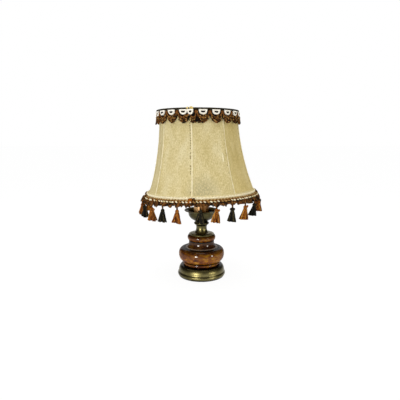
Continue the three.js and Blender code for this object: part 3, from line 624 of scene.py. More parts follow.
class Shape:
    """One piece's points and faces, gathered from strips of rings."""

    def __init__(self):
        self.points = []
        self.faces = []
        self.paints = []
        self.places = []

    def strip(self, rings, closed=True, looped=False, paint=None):
        """Joins rings of points one after another; texture places run round (0 to 1) and along (metres)."""
        first = len(self.points)
        count = len(rings[0])
        for ring in rings:
            self.points.extend(ring)
        along = [0.0]
        for one, two in zip(rings, rings[1:] + rings[:1]):
            along.append(along[-1] + (two[0] - one[0]).length)
        for j in range(len(rings) if looped else len(rings) - 1):
            row = first + j * count
            above = first + (j + 1) % len(rings) * count
            for i in range(count if closed else count - 1):
                beside = (i + 1) % count
                self.faces.append((row + i, row + beside, above + beside, above + i))
                left, right = i / count, (i + 1) / count
                self.places.extend(((left, along[j]), (right, along[j])))
                self.places.extend(((right, along[j + 1]), (left, along[j + 1])))
                self.paints.append(paint)
        if closed and not looped:
            for j in (0, len(rings) - 1):
                start = first + j * count
                self.faces.append(tuple(range(start, start + count)))
                self.places.extend((i / count, along[j]) for i in range(count))
                self.paints.append(paint)

    def tube(self, path, outward, radius, sides, looped=False, flat=1.0, paint=None):
        """A round or flat tube. outward is never along the path; it and radius may be lists, by point."""
        rings = []
        count = len(path)
        section = circle(sides)
        for i, here in enumerate(path):
            before = path[i - 1] if i or looped else here
            after = path[(i + 1) % count] if i + 1 < count or looped else here
            along = (after - before).normalized()
            side = along.cross(outward[i] if isinstance(outward, list) else outward).normalized()
            out = side.cross(along)
            r = radius[i] if isinstance(radius, list) else radius
            rings.append([here + out * (r * flat * c) + side * (r * s) for c, s in section])
        self.strip(rings, looped=looped, paint=paint)

    def yarn(self, path, outward, radius, lumps, sides, paint):
        """A tube that is thicker or thinner from point to point, as its lumps say."""
        self.tube(path, outward, [radius * lumps(p) for p in path], sides, paint=paint)

    def lathe(self, outline, steps, looped=False, ridge=None):
        """Turns an outline of (radius, height) about the Z axis."""
        rings = []
        for r, z in outline:
            ring = []
            for angle in all_round(steps):
                reach = r + (ridge(angle, r, z) if ridge else 0.0)
                ring.append(Vector((reach * math.cos(angle), reach * math.sin(angle), z)))
            rings.append(ring)
        self.strip(rings, looped=looped)

    def move(self, matrix):
        self.points = [matrix @ p for p in self.points]

    def piece(self, name, body, paints, slot, *nodes):
        """Makes the object, which rides on its body and stands for the solids that it replaces."""
        mesh = bpy.data.meshes.new(name)
        mesh.from_pydata(self.points, [], self.faces)
        for paint in paints:
            mesh.materials.append(paint)
        order = {paint: i for i, paint in enumerate(paints)}
        mesh.polygons.foreach_set("material_index", [order[paint or paints[0]] for paint in self.paints])
        layer = mesh.uv_layers.new(name="places")
        layer.data.foreach_set("uv", [value for place in self.places for value in place])
        tidy = bmesh.new()
        tidy.from_mesh(mesh)
        bmesh.ops.recalc_face_normals(tidy, faces=tidy.faces)
        tidy.to_mesh(mesh)
        tidy.free()
        mesh.shade_smooth()
        mesh.set_sharp_from_angle(angle=CREASE)
        piece = bpy.data.objects.new(name, mesh)
        bpy.context.scene.collection.objects.link(piece)
        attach(piece, body)
        if nodes:
            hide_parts(*nodes)
        return piece


def turned(name, body, paint, slot, node, outline, steps=128, looped=True, ridge=None, placed=None):
    """A piece turned from one outline, which stands for one solid."""
    shape = Shape()
    shape.lathe(outline, steps, looped, ridge)
    if placed:
        shape.move(placed)
    shape.piece(name, body, [paint], slot, node)


class Outline:
    """An outline in (radius, height), drawn with a pen from point to point."""

    def __init__(self, r, z):
        self.points = [(r, z)]

    def line(self, r, z):
        self.points.append((r, z))
        return self

    def curve(self, *controls, steps=14):
        """A Bezier curve from the pen through its control points to the last one."""
        start = self.points[-1]
        for step in range(1, steps + 1):
            t = step / steps
            level = [Vector(p) for p in (start,) + controls]
            while len(level) > 1:
                level = [a.lerp(b, t) for a, b in zip(level, level[1:])]
            self.points.append(tuple(level[0]))
        return self


def flat_ring(bore, outer, low, top, soft):
    """Outline of a flat ring whose outer edges are softened."""
    side = [(bore, low), (outer - soft, low), (outer, low + soft)]
    return side + [(outer, top - soft), (outer - soft, top), (bore, top)]


def smooth(points, between):
    """Points along a smooth curve through the given ones."""
    spots = [Vector(p) for p in points]
    ends = [2 * spots[0] - spots[1]] + spots + [2 * spots[-1] - spots[-2]]
    path = []
    for a, b, c, d in zip(ends, ends[1:], ends[2:], ends[3:]):
        bend = 2 * a - 5 * b + 4 * c - d
        twist = 3 * b - a - 3 * c + d
        for k in range(between):
            t = k / between
            path.append(0.5 * (2 * b + (c - a) * t + bend * t ** 2 + twist * t ** 3))
    path.append(spots[-1])
    return path


def length_of(path):
    return sum((b - a).length for a, b in zip(path, path[1:]))


def lumpy(amount, seed, at=Vector((0, 0, 0))):
    """How much thicker or thinner a fluffy yarn is at a point, counted from a place."""
    grain = 700.0
    offset = Vector((seed * 3.1, seed * 1.7, seed * 5.3))
    return lambda p: 1 + amount * noise.noise((p + at) * grain + offset)


# Base

def foot_side(inset, low, top):
    """The foot's side from its lower edge to its seat."""
    rim = FOOT_R - inset
    dome = rim - FOOT_STEP_IN
    step = low + FOOT_BAND_H + FOOT_STEP_UP
    seat = FOOT_TOP_R - inset
    side = Outline(rim - FOOT_BAND_ROUND, low)
    side.curve((rim + FOOT_BAND_ROUND, low + FOOT_BAND_H / 2), (rim - FOOT_BAND_ROUND, low + FOOT_BAND_H))
    side.line(dome, step)
    side.curve((dome, step + FOOT_DOME_RISE), (seat + FOOT_DOME_RUN, top), (seat, top))
    return side.points


def make_foot():
    low, top = heights("foot")
    outer = foot_side(0, low, top)
    inner = foot_side(FOOT_WALL, low, top - FOOT_WALL)
    shell = outer + [(STEM_BORE, top), (STEM_BORE, top - FOOT_WALL)] + inner[::-1]
    turned("foot_shell", "base", BRASS, "brass", "foot", shell)
    turned("foot_pad", "base", FELT, "felt", "foot_felt", [(FELT_R, 0), (FELT_R, low)], 96, looped=False)


def make_body():
    low, top = heights("wood_body")
    groove = BEAD_R - BEAD_ROUND
    bead = low + BEAD_H
    bulge = bead + BULGE_UP
    shoulder = bulge + SHOULDER_UP
    fillet = SHOULDER_R - SHOULDER_GROOVE / 2
    fillet_z = shoulder + SHOULDER_FILLET - SHOULDER_GROOVE
    cove_z = fillet_z + COVE_SHARE * (top - fillet_z)
    steep_z = (cove_z + top) / 2
    bulge_in = BULGE_R - BEAD_ROUND
    side = Outline(STEM_BORE, low).line(groove, low)
    side.curve((BEAD_R + BEAD_ROUND, low + BEAD_H / 2), (groove, bead))
    side.curve((bulge_in - BEAD_ROUND, bead), (BULGE_R, bulge - BULGE_UP / 2), (BULGE_R, bulge), steps=20)
    side.curve((BULGE_R, bulge + SHOULDER_UP / 2), (bulge_in, shoulder), (SHOULDER_R, shoulder), steps=20)
    side.line(SHOULDER_R - SHOULDER_GROOVE, shoulder - SHOULDER_GROOVE)
    side.line(fillet, fillet_z)
    side.curve((COVE_R, fillet_z), (COLLAR_R, cove_z), (COLLAR_R, steep_z), (COLLAR_R, top), steps=24)
    side.line(STEM_BORE, top)
    turned("turned_body", "base", WOOD, "wood", "wood_body", side.points)


def make_ring():
    low, top = heights("wood_ring")
    widest = low + RING_UP
    side = Outline(STEM_BORE, low).line(RING_SEAT_R, low)
    side.curve((RING_R - BEAD_ROUND, low), (RING_R, low + RING_UP / 2), (RING_R, widest))
    side.curve((RING_R, (widest + top) / 2), (SKIRT_R, top))
    side.line(STEM_BORE, top)
    turned("turned_ring", "base", WOOD, "wood", "wood_ring", side.points)


def make_neck():
    low, top = heights("neck")
    skirt = low + SKIRT_H
    waist = low + WAIST_UP
    bead = top - NECK_BEAD_H
    flare = (TRUMPET_R + WAIST_R) / 2
    side = Outline(STEM_BORE, low).line(SKIRT_R, low).line(SKIRT_R, low + SKIRT_EDGE)
    side.curve(((SKIRT_R + TRUMPET_R) / 2, skirt), (TRUMPET_R, skirt))
    side.curve((flare, skirt), (WAIST_R, (skirt + waist) / 2), (WAIST_R, waist))
    side.curve((WAIST_R, (waist + bead) / 2), (NECK_TOP_R, bead))
    side.curve((2 * NECK_BEAD_R - NECK_TOP_R, (bead + top) / 2), (NECK_TOP_R, top))
    side.line(STEM_BORE, top)
    turned("brass_neck", "base", BRASS, "brass", "neck", side.points)


def bowl_side(inset, low, top):
    """The bowl's side from its floor to its lip."""
    wall = BOWL_R - inset
    floor = low + (BOWL_FLOOR if inset else 0)
    throat = top - LIP_RISE
    lip_z = top if inset else top - BOWL_WALL
    side = Outline(NECK_TOP_R, floor)
    side.curve((NECK_TOP_R, floor + BOWL_FOOT_UP), (wall, floor + BOWL_BELLY_UP), (wall, throat), steps=24)
    side.curve((wall, lip_z), (BOWL_R + LIP_OUT, lip_z))
    return side.points


def make_bowl():
    low, top = heights("bowl")
    side = bowl_side(0, low, top) + bowl_side(BOWL_WALL, low, top)[::-1]
    side += [(STEM_BORE, low + BOWL_FLOOR), (STEM_BORE, low)]
    turned("brass_bowl", "base", BRASS, "brass", "bowl", side)


def make_holder():
    low, top = heights("holder_cap")
    floor = low + HOLDER_WALL
    dome = low + HOLDER_DOME
    bore = HOLDER_R - HOLDER_WALL
    outer = Outline(HOLDER_FOOT_R, low).curve((HOLDER_R, low), (HOLDER_R, dome)).line(HOLDER_R, top)
    inner = Outline(HOLDER_FOOT_R - HOLDER_WALL, floor).curve((bore, floor), (bore, dome)).line(bore, top)
    cup = outer.points + inner.points[::-1] + [(STEM_BORE, floor), (STEM_BORE, low)]
    turned("holder_cup", "base", COPPER, "holder_brass", "holder_cap", cup, 96)

    low, top = heights("holder_shell")
    flange = low + SHELL_SKIRT_H
    thread = flange + FLANGE_T
    side = Outline(SOCKET_R, low).line(HOLDER_R, low).line(HOLDER_R, flange)
    side.line(FLANGE_R, flange).line(FLANGE_R, thread).line(THREAD_R, thread)
    for n in range(int((top - thread) / THREAD_PITCH)):
        z = thread + n * THREAD_PITCH
        side.line(THREAD_R - THREAD_PITCH / 4, z + THREAD_PITCH / 2)
        side.line(THREAD_R, z + THREAD_PITCH)
    side.line(THREAD_R, top).line(BULB_BORE_R, top).line(BULB_BORE_R, flange).line(SOCKET_R, flange)
    turned("holder_sleeve", "base", COPPER, "holder_brass", "holder_shell", side.points, 96)

    low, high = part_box("shade_ring")
    bore = THREAD_R + HAIR

    def grip(angle, r, z):
        return -CLAMP_GRIP_DEPTH * max(0.0, math.cos(CLAMP_GRIPS * angle)) if r > bore else 0.0

    side = flat_ring(bore, high.x, low.z, high.z, CLAMP_SOFT)
    turned("clamp_ring", "clamp", COPPER, "holder_brass", "shade_ring", side, CLAMP_GRIPS * 8, ridge=grip)


def make_bulb():
    low, top = heights("bulb_cap")
    tip, plain, crest, root, pole = 0.0008, 0.003, 0.0006, 0.001, 0.0004
    shoulder = low + CONTACT_H
    side = Outline(tip, low).line(CONTACT_R, low).line(CONTACT_R, low + CONTACT_H / 2)
    side.line(BULB_CAP_R - BULB_RIM, shoulder)
    for n in range(int((top - low - CONTACT_H - plain) / BULB_PITCH)):
        z = shoulder + n * BULB_PITCH
        side.curve((BULB_CAP_R + crest, z + BULB_PITCH / 2), (BULB_CAP_R - root, z + BULB_PITCH), steps=6)
    side.line(BULB_CAP_R, top - BULB_RIM).line(BULB_CAP_R, top)
    turned("bulb_base", "bulb", NICKEL, "steel", "bulb_cap", side.points, 64, looped=False)

    low, top = heights("bulb_glass")
    widest = top - BULB_R
    middle = (low + widest) / 2
    round_off = QUARTER * BULB_R
    side = Outline(BULB_NECK_R, low)
    side.curve((BULB_NECK_R, middle), (BULB_R, middle), (BULB_R, widest), steps=20)
    side.curve((BULB_R, widest + round_off), (round_off, top), (pole, top), steps=20)
    turned("bulb_globe", "bulb", OPAL, "bulb", "bulb_glass", side.points, 96, looped=False)


def make_bush():
    """Bush for the mains lead: a short flanged tube lying along Y in the back of the foot."""
    low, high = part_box("cord_bush")
    depth = high.y - low.y
    flange = depth - BUSH_FLANGE_T
    side = [(BUSH_BORE_R, 0), (BUSH_R, 0), (BUSH_R, flange), (BUSH_FLANGE_R, flange)]
    side += [(BUSH_FLANGE_R, depth - BUSH_SOFT), (BUSH_FLANGE_R - BUSH_SOFT, depth), (BUSH_BORE_R, depth)]
    lying = Matrix.Translation((0, low.y, (low.z + high.z) / 2)) @ Matrix.Rotation(-math.pi / 2, 4, "X")
    turned("outlet_bush", "base", BAKELITE, "bakelite", "cord_bush", side, 48, placed=lying)


# Shade

carrier_z = sum(heights("carrier_ring")) / 2
lean_axis = (-math.sin(LEAN_TOWARDS), math.cos(LEAN_TOWARDS), 0)
lean = Matrix.Translation((0, 0, carrier_z)) @ Matrix.Rotation(LEAN, 4, lean_axis)
lean_turn = lean.to_3x3()


def rib_radius(z):
    """Radius of the fabric's inner face at a rib."""
    down = max(0.0, (SHADE_H - z) / SHADE_H)
    return SHADE_TOP_R + (SHADE_BOTTOM_R - SHADE_TOP_R) * down ** SHADE_BELL


def on_shade(angle, z, lift):
    """A point of the shade, lifted off the fabric's inner face; a gore is drawn flat between its ribs."""
    turn = (angle - SEAM_ANGLE) / GORE_ARC
    off = (turn - math.floor(turn) - 0.5) * GORE_ARC
    chord = math.cos(GORE_ARC / 2) / math.cos(off)
    height = min(1.0, max(0.0, z / SHADE_H))
    flat = GORE_FLATNESS * math.sin(math.pi * height)
    r = rib_radius(z) * (1 - flat * (1 - chord)) + lift
    x = r * math.sin(angle)
    level = -x * math.tan(TOP_TILT) * height
    aside = SHADE_ASIDE + TOP_ASIDE * height
    return lean @ Vector((aside + x, -r * math.cos(angle), SHADE_RISE + z + level))


def outward(angle):
    """The way straight out from the shade's own axis."""
    return lean_turn @ Vector((math.sin(angle), -math.cos(angle), 0))


def cloth_relief(number, across, z):
    """How far a gore's cloth stands out: waves, gathers at the bottom, puckers at its seams and a fold."""
    wave_deep, gather_deep, pucker_deep = 0.0006, 0.0007, 0.0006
    gather_up, pucker_in, held_in = 0.035, 0.07, 0.05
    edge = min(across, 1 - across)
    waves = wave_deep * noise.noise(Vector((number * 7.3 + across * 2.4, z * 26, 0)))
    gathers = gather_deep * math.exp(-z / gather_up)
    gathers *= noise.noise(Vector((across * 11 + number * 5.1, z * 14, 3)))
    puckers = pucker_deep * math.exp(-edge / pucker_in)
    puckers *= noise.noise(Vector((number * 3.7, z * 95, 9 + across * 2)))
    fold = 0.0
    if number == 0:
        beside = (across - FOLD_ACROSS) / FOLD_WIDE
        fold = FOLD_DEEP * math.exp(-beside ** 2 - ((z - FOLD_Z) / FOLD_TALL) ** 4)
    return waves * min(1.0, edge / held_in) + gathers + puckers + fold


def make_gores():
    columns, rows = 32, 84
    gap = SEAM_GAP / SHADE_TOP_R
    width = GORE_ARC * SHADE_BOTTOM_R
    for n in range(GORES):
        start = SEAM_ANGLE + n * GORE_ARC + gap / 2
        rings = []
        for j in range(rows + 1):
            z = SHADE_H * j / rows
            ring = []
            for i in range(columns + 1):
                across = i / columns
                angle = start + across * (GORE_ARC - gap)
                ring.append(on_shade(angle, z, FABRIC_T + cloth_relief(n, across, z)))
            rings.append(ring)
        cloth = Shape()
        cloth.strip(rings, closed=False)
        cloth.places = [(n * GORE_CUT + u * width, v) for u, v in cloth.places]
        piece = cloth.piece(f"gore_cloth_{n + 1}", "shade", [FABRIC], "shade_fabric", f"gore_{n + 1}")
        thick = piece.modifiers.new("cloth", "SOLIDIFY")
        thick.thickness = CLOTH_T
        thick.offset = -1


def make_seams():
    """A narrow folded tape over each rib, with a broken row of stitches to its left that shows in front."""
    steps, fold_steps = 90, 12
    seams = Shape()
    for n in range(GORES):
        angle = SEAM_ANGLE + n * GORE_ARC
        out = outward(angle)
        path = [on_shade(angle, SHADE_H * (j / steps), FABRIC_T + TAPE_PROUD) for j in range(steps + 1)]
        half = TAPE_HALF_RIGHT if n == 1 else TAPE_HALF
        seams.tube(path, out, [half * (1 + 0.25 * noise.noise(p * 130)) for p in path], 10, flat=0.62)
        stitch_r = (0.0007, 0.0012) if n == 0 else (0.0003, 0.0006)
        for k in range(STITCHES):
            height = k / STITCHES
            hidden = 0.15 if n == 0 and 0.3 < height < 0.92 else 0.88
            if random.random() < hidden:
                continue
            thick = random.uniform(*stitch_r)
            aside = STITCH_ASIDE + random.uniform(-0.0004, 0.0004)
            beside = angle - aside / rib_radius(SHADE_H * height)
            low = SHADE_H * (k + random.uniform(0.0, 0.25)) / STITCHES
            tall = SHADE_H * random.uniform(0.3, 0.6) / STITCHES
            thread = [on_shade(beside, low + tall * t / 3, FABRIC_T + HAIR) for t in range(4)]
            seams.tube(thread, out, thick, 5, paint=STITCH)
    # The fold's crest is a pale cord in the seam tape's colour: a painted highlight.
    angle = SEAM_ANGLE + FOLD_ACROSS * GORE_ARC
    ridge = []
    swell = []
    for k in range(fold_steps + 1):
        z = FOLD_Z + FOLD_HALF * (1 - 2 * k / fold_steps)
        ridge.append(on_shade(angle, z, FABRIC_T + cloth_relief(0, FOLD_ACROSS, z)))
        swell.append(FOLD_R[0] + FOLD_R[1] * math.sin(math.pi * k / fold_steps))
    seams.tube(ridge, outward(angle), swell, 8, flat=0.5)
    seams.piece("seam_tapes", "shade", [SEAM, STITCH], "shade_fabric")


def circle_path(z, lift, steps):
    """A closed path round the shade at one height, and the way out at each of its points."""
    angles = all_round(steps)
    return [on_shade(a, z, lift) for a in angles], [outward(a) for a in angles]


def make_frame():
    rib_steps, arm_steps = 40, 24
    inside = -FRAME_GAP - FRAME_RING_R
    wire = Shape()
    for z in (0.0, SHADE_H):
        path, outs = circle_path(z, inside, 160)
        wire.tube(path, outs, FRAME_RING_R, 12, looped=True)
    for n in range(GORES):
        angle = SEAM_ANGLE + n * GORE_ARC
        path = [on_shade(angle, SHADE_H * j / rib_steps, inside) for j in range(rib_steps + 1)]
        wire.tube(path, outward(angle), RIB_R, 10)
    wire.piece("wire_frame", "shade", [STEEL], "steel", "shade_frame")

    side = flat_ring(CARRIER_BORE_R, CARRIER_R, -CARRIER_HALF, CARRIER_HALF, CARRIER_SOFT)
    turned("carrier_seat", "shade", STEEL, "steel", "carrier_ring", side, 96, placed=lean)

    near = CARRIER_R + ARM_GAP
    far = SHADE_BOTTOM_R - FRAME_GAP - 2 * FRAME_RING_R - HAIR
    rise = UP * SHADE_RISE + Vector((SHADE_ASIDE, 0, 0))
    for n in range(ARMS):
        angle = SEAM_ANGLE + n * TURN / ARMS
        out = Vector((math.sin(angle), -math.cos(angle), 0))
        bend = out * ((near + far) / 2)
        path = []
        for k in range(arm_steps + 1):
            t = k / arm_steps
            path.append(lean @ (out * near).lerp(bend, t).lerp(bend.lerp(out * far + rise, t), t))
        arm = Shape()
        arm.tube(path, lean_turn @ UP, ARM_R, 12)
        arm.piece(f"carrier_wire_{n + 1}", "shade", [STEEL], "steel", f"carrier_arm_{n + 1}")


# Trim of the top

tape_lift = FABRIC_T + SEWN + TAPE_T
braid_lift = tape_lift + HAIR
# Cords of each lobe: right half of its path, across and down, then how far it stands out, radius and paint
LOBE_CORDS = (
    (((0.0128, 0.001), (0.0118, 0.0064), (0.008, 0.0124), (0.0, 0.0148)), 0.0018, 0.0012, SHADOW_YARN),
    (((0.0156, 0.004), (0.0134, 0.0098), (0.0086, 0.0158), (0.0, 0.0188)), 0.0026, 0.0017, GIMP),
    (((0.015, 0.0094), (0.0128, 0.0146), (0.0078, 0.0196), (0.0, 0.0224)), 0.0016, 0.0011, SHADOW_YARN),
    (((0.0136, 0.0126), (0.0112, 0.0172), (0.0064, 0.0222), (0.0, 0.0252)), 0.0022, 0.0016, CHENILLE))
EDGE_KNOT_PAINTS = (CHENILLE, SHADOW_YARN, GIMP)
KNOT_PAINTS = (CHENILLE, SHADOW_YARN, SHADOW_YARN, GIMP, GIMP_PALE, GIMP_PALE)


def make_edging():
    """A dark cord laid up from strands along the top edge, with lumps of pale thread where its ends meet."""
    lift = FABRIC_T + SEWN + EDGING_R
    count = 800
    path, outs = circle_path(SHADE_H, lift, count)
    turns = round(length_of(path) / STRAND_PITCH)
    cord = Shape()
    for strand in range(STRANDS):
        wound = []
        for i, p in enumerate(path):
            along = (path[(i + 1) % count] - path[i - 1]).normalized()
            side = along.cross(outs[i]).normalized()
            phase = TURN * (turns * i / count + strand / STRANDS)
            wound.append(p + outs[i] * (STRAND_OFF * math.cos(phase)) + side * (STRAND_OFF * math.sin(phase)))
        cord.tube(wound, outs, STRAND_R, 7, looped=True)
    for place, size in WRAPS:
        angle = BRAID_JOINT + place * WRAP_PITCH / SHADE_TOP_R
        wrap_r = EDGING_R + WRAP_PROUD * size
        middle = on_shade(angle, SHADE_H + WRAP_UP * size, lift)
        out = outward(angle)
        loop = [middle + out * (wrap_r * c) + UP * (wrap_r * size * s) for c, s in circle(18)]
        cord.tube(loop, out.cross(UP), WRAP_R, 6, looped=True, paint=THREAD)
    cord.piece("edging_cord", "shade", [OLIVE, THREAD], "edging_cord", "top_edging")


def make_tape():
    """Cream tape over the top ring, from under the braid to the inside of the shade."""
    section = [(tape_lift, -0.015), (tape_lift, -0.0045), (0.0012, -0.0035), (0.0009, 0.0012)]
    section += [(-0.002, 0.0022), (-0.0046, 0.001), (-0.005, -0.002), (-0.005, -0.009)]
    inner = []
    for lift, z in reversed(section):
        inner.append((lift - TAPE_T if lift > 0 else lift + TAPE_T, z - TAPE_T if z > 0 else z))
    rings = [[on_shade(a, SHADE_H + z, lift) for lift, z in section + inner] for a in all_round(192)]
    tape = Shape()
    tape.strip(rings, looped=True)
    tape.piece("top_tape", "shade", [CREAM], "cream_tape", "top_binding")


def scallops():
    """Middle angle and half width of each scallop, the short one at the joint included."""
    joint = TURN - SCALLOPS * SCALLOP_PITCH
    spans = [(BRAID_JOINT + joint / 2, joint / 2)]
    for n in range(SCALLOPS):
        spans.append((BRAID_JOINT + joint + (n + 0.5) * SCALLOP_PITCH, SCALLOP_PITCH / 2))
    return spans


def make_top_braid():
    """The scalloped braid: dark ground, half moons of cream cord, and knotted chenille out to its rim."""
    braid = Shape()
    under = SHADE_H - EDGING_R - HAIR
    top_r = SHADE_TOP_R + braid_lift
    deepest = BRAID_H + SCALLOP_DROP
    columns, rows, moon_steps = 24, 10, 24

    for number, (middle, half) in enumerate(scallops()):
        short = number == 0
        size = half / (SCALLOP_PITCH / 2)
        wide = half * top_r
        out = outward(middle)
        fluff = lumpy(0.45, number)
        point = random.uniform(*LOBE_ROUND)
        flare = LOOSE_FLARE if number == LOOSE_SCALLOP else random.uniform(*LOBE_FLARE)

        def hang(x):
            """How far the braid hangs below the edging at a place across the scallop, from -1 to 1."""
            across = abs(x)
            if short:
                across = max(0.0, -x) ** 4
            elif number == 1 and x < 0:
                across = 0.0
            return BRAID_H + SCALLOP_DROP * max(0.0, 1 - across ** point) ** (1 / point)

        def lay(points, lift):
            """Points across and down the scallop, in metres, laid on it and flared out with its lobe."""
            path = []
            for x, down in points:
                loose = flare * (down / deepest) ** 2
                path.append(on_shade(middle + x / top_r, under - down, braid_lift + lift + loose))
            return path

        def cord(points, lift, radius, paint):
            braid.yarn(lay(smooth(points, 4), lift), out, radius, fluff, 7, paint)

        ground = []
        for i in range(columns + 1):
            x = -1 + 2 * i / columns
            low = hang(x) - GROUND_UP
            column = [(x * wide, low * j / rows) for j in range(rows + 1)]
            ground.append(lay(column, lift=GROUND_T) + lay(column, lift=0.0)[::-1])
        braid.strip(ground, paint=SHADOW_YARN)

        cut, aside, front = (SHORT_CUT, SHORT_ASIDE * wide, SHORT_FRONT) if short else (1.0, 0.0, MOON_FRONT)
        moon = []
        for k in range(moon_steps + 1):
            a = math.pi * k / moon_steps
            moon.append((aside + cut * MOON_W * math.cos(a), MOON_TOP + MOON_DEEP * math.sin(a) ** 0.8))
        braid.tube(lay(moon, front), out, MOON_CORD, 8, paint=CREAM)
        corner = cut * MOON_W + MOON_BAR_PAST
        bar = [(aside + corner * k / 2, MOON_TOP) for k in range(-2, 3)]
        braid.tube(lay(bar, front), out, MOON_BAR, 8, paint=CREAM)
        hole = [(aside + cut * x, MOON_MIDDLE) for x in MOON_HOLE]
        braid.tube(lay(hole, front + MOON_HOLE_PROUD), out, MOON_HOLE_R, 8, paint=SHADOW_YARN)

        for half_path, lift, radius, paint in LOBE_CORDS:
            left = [(-x * size, down) for x, down in half_path]
            cord(left + [(-x, down) for x, down in left[-2::-1]], lift, radius, paint)
        rim = [(x / 10 * wide, hang(x / 10) - RIM_UP) for x in range(-7, 8)]
        cord(rim, lift=0.0022, radius=0.0018, paint=CHENILLE)
        knots = 5 if short else 8
        for k in range(knots):
            x = -RIM_REACH + 2 * RIM_REACH * k / (knots - 1)
            down = hang(x) - random.uniform(0.0002, 0.0016)
            reach = random.uniform(0.0007, 0.0013)
            edge = [(x * wide - reach, down), (x * wide, down + 0.0004), (x * wide + reach, down)]
            cord(edge, lift=0.003, radius=0.0017, paint=random.choice(EDGE_KNOT_PAINTS))
        for k in range(round(KNOTS * size)):
            x = random.uniform(-KNOT_REACH, KNOT_REACH)
            down = random.uniform(KNOT_LOW, max(KNOT_LOW + 0.001, hang(x) - RIM_UP))
            reach = random.uniform(0.0005, 0.0014)
            turn = random.choice((-1, 1)) * random.uniform(0.3, 1.0)
            knot = [(x * wide - reach, down - reach * turn), (x * wide + reach, down + reach * turn)]
            lift = random.uniform(0.003, 0.0042)
            radius = random.uniform(0.0008, 0.0014)
            cord(knot, lift, radius, random.choice(KNOT_PAINTS))
        link = [(wide + LINK_W * c, MOON_MIDDLE + LINK_H * s) for c, s in circle(16)]
        braid.tube(lay(link, lift=0.003), out, LINK_R, 7, looped=True, paint=GIMP)
    paints = [CHENILLE, CREAM, SHADOW_YARN, GIMP, GIMP_PALE]
    braid.piece("scallop_braid", "shade", paints, "brown_braid", "top_braid")


# Trim of the bottom

fringe_foot = -FRINGE_FOOT - LOOP_DROP
fringe_tip = fringe_foot - LOOP_LOBE
# Zigzag rows: height, sway, radius, how far each stands out, and paint
ZIGZAGS = ((0.0028, 0.0011, 0.0009, 0.0014, GIMP_PALE), (-0.0042, 0.0008, 0.0011, 0.001, SHADOW_YARN))
DOT_PAINTS = (EDGE_CREAM, EDGE_CREAM, EDGE_CREAM, EDGE_CREAM, GROUND_CREAM, GIMP_PALE)
DOT_RADII = (0.0013, 0.002, 0.0022, 0.002, 0.0013)
LOOP_PAINTS = (CHENILLE, CHENILLE, CHENILLE, GIMP, SHADOW_YARN, SHADOW_YARN)
CURL_PAINTS = (CHENILLE, CHENILLE, CHENILLE, SHADOW_YARN)


def tassel_angle(number):
    """Angle of a tassel round the shade; the first has wider gaps to both sides."""
    if number == 0:
        return TASSEL_FIRST
    return TASSEL_FIRST + TASSEL_GAP + (number - 1) * TASSEL_PITCH


def hook_of(number):
    """The point that a tassel hangs from and swings about."""
    return Vector(joints[f"tassel_{number + 1:02d}_swing"]["pos_m"])


def fringe_out(z):
    """How far the fringe's face stands off the fabric's inner face at a height."""
    share = (FRINGE_TOP - z) / (FRINGE_TOP - fringe_tip)
    return FABRIC_T + SEWN + FRINGE_PROUD + LOOP_OUT * share ** 1.1


def weave_ground(fringe):
    """The fringe's ground in two bands, the lower one turned in under the bottom ring."""
    split, under = 0.0024, 0.001
    upper = [(fringe_out(z) - under, z) for z in (FRINGE_TOP, 0.008, split)]
    lower = [(fringe_out(z) - under, z) for z in (split, 0.0, -0.0034)]
    lower += [(0.0005, -0.0038), (-0.0044, -0.0034), (-0.0056, 0.0), (-0.0056, 0.009)]
    for section, paint in ((upper, GROUND_CREAM), (lower, GIMP)):
        back = []
        for lift, z in reversed(section):
            back.append((lift - FRINGE_T if lift > 0 else lift + FRINGE_T, z + FRINGE_T if z < -0.003 else z))
        rings = [[on_shade(a, z, lift) for lift, z in section + back] for a in all_round(240)]
        fringe.strip(rings, looped=True, paint=paint)


def weave_rows(fringe):
    """Rows along the fringe: a cream edge and two zigzags."""
    angles = all_round(10 * FRINGE_PERIODS)
    outs = [outward(a) for a in angles]
    edge = []
    swell = []
    for a in angles:
        beat = math.cos(FRINGE_PERIODS * a)
        uneven = noise.noise(Vector((a * 30, 0, 0)))
        edge.append(on_shade(a, EDGE_Z + 0.0006 * beat, fringe_out(EDGE_Z)))
        swell.append(EDGE_R * (1 + 0.14 * beat + 0.1 * uneven))
    fringe.tube(edge, outs, swell, 8, looped=True, flat=0.62, paint=EDGE_CREAM)
    for middle, sway, radius, proud, paint in ZIGZAGS:
        path = []
        for a in angles:
            wave = -math.asin(0.95 * math.cos(FRINGE_PERIODS * a)) / (math.pi / 2)
            path.append(on_shade(a, middle + sway * wave, fringe_out(middle) + proud))
        fringe.tube(path, outs, radius, 7, looped=True, paint=paint)


def weave_dots(fringe):
    """A small dark bar and a plump pale dot in each period of the weave, a few dots missing."""
    bar_reach, dot_reach = BAR_HALF / SHADE_BOTTOM_R, DOT_HALF / SHADE_BOTTOM_R
    bar_out = fringe_out(BAR_Z) + BAR_PROUD
    for k in range(FRINGE_PERIODS):
        a = TURN * (k + 0.5 + random.uniform(-0.12, 0.12)) / FRINGE_PERIODS
        bar = [on_shade(a + x * bar_reach, BAR_Z + BAR_SLANT * x, bar_out) for x in (-1.0, -0.3, 0.3, 1.0)]
        fringe.tube(bar, outward(a), random.uniform(0.0005, 0.0008), 6, paint=CHENILLE)
        if random.random() < DOTS_MISSING:
            continue
        a = TURN * (k + random.uniform(-0.2, 0.2)) / FRINGE_PERIODS
        slant = random.uniform(0.0004, 0.0018)
        low = random.uniform(-0.0016, -0.0008)
        dot_out = fringe_out(low) + DOT_PROUD
        dot = [on_shade(a + x * dot_reach, low - slant * x, dot_out) for x in (-1.0, -0.5, 0.0, 0.5, 1.0)]
        plump = random.uniform(0.65, 1.0)
        fringe.tube(dot, outward(a), [plump * r for r in DOT_RADII], 8, paint=random.choice(DOT_PAINTS))


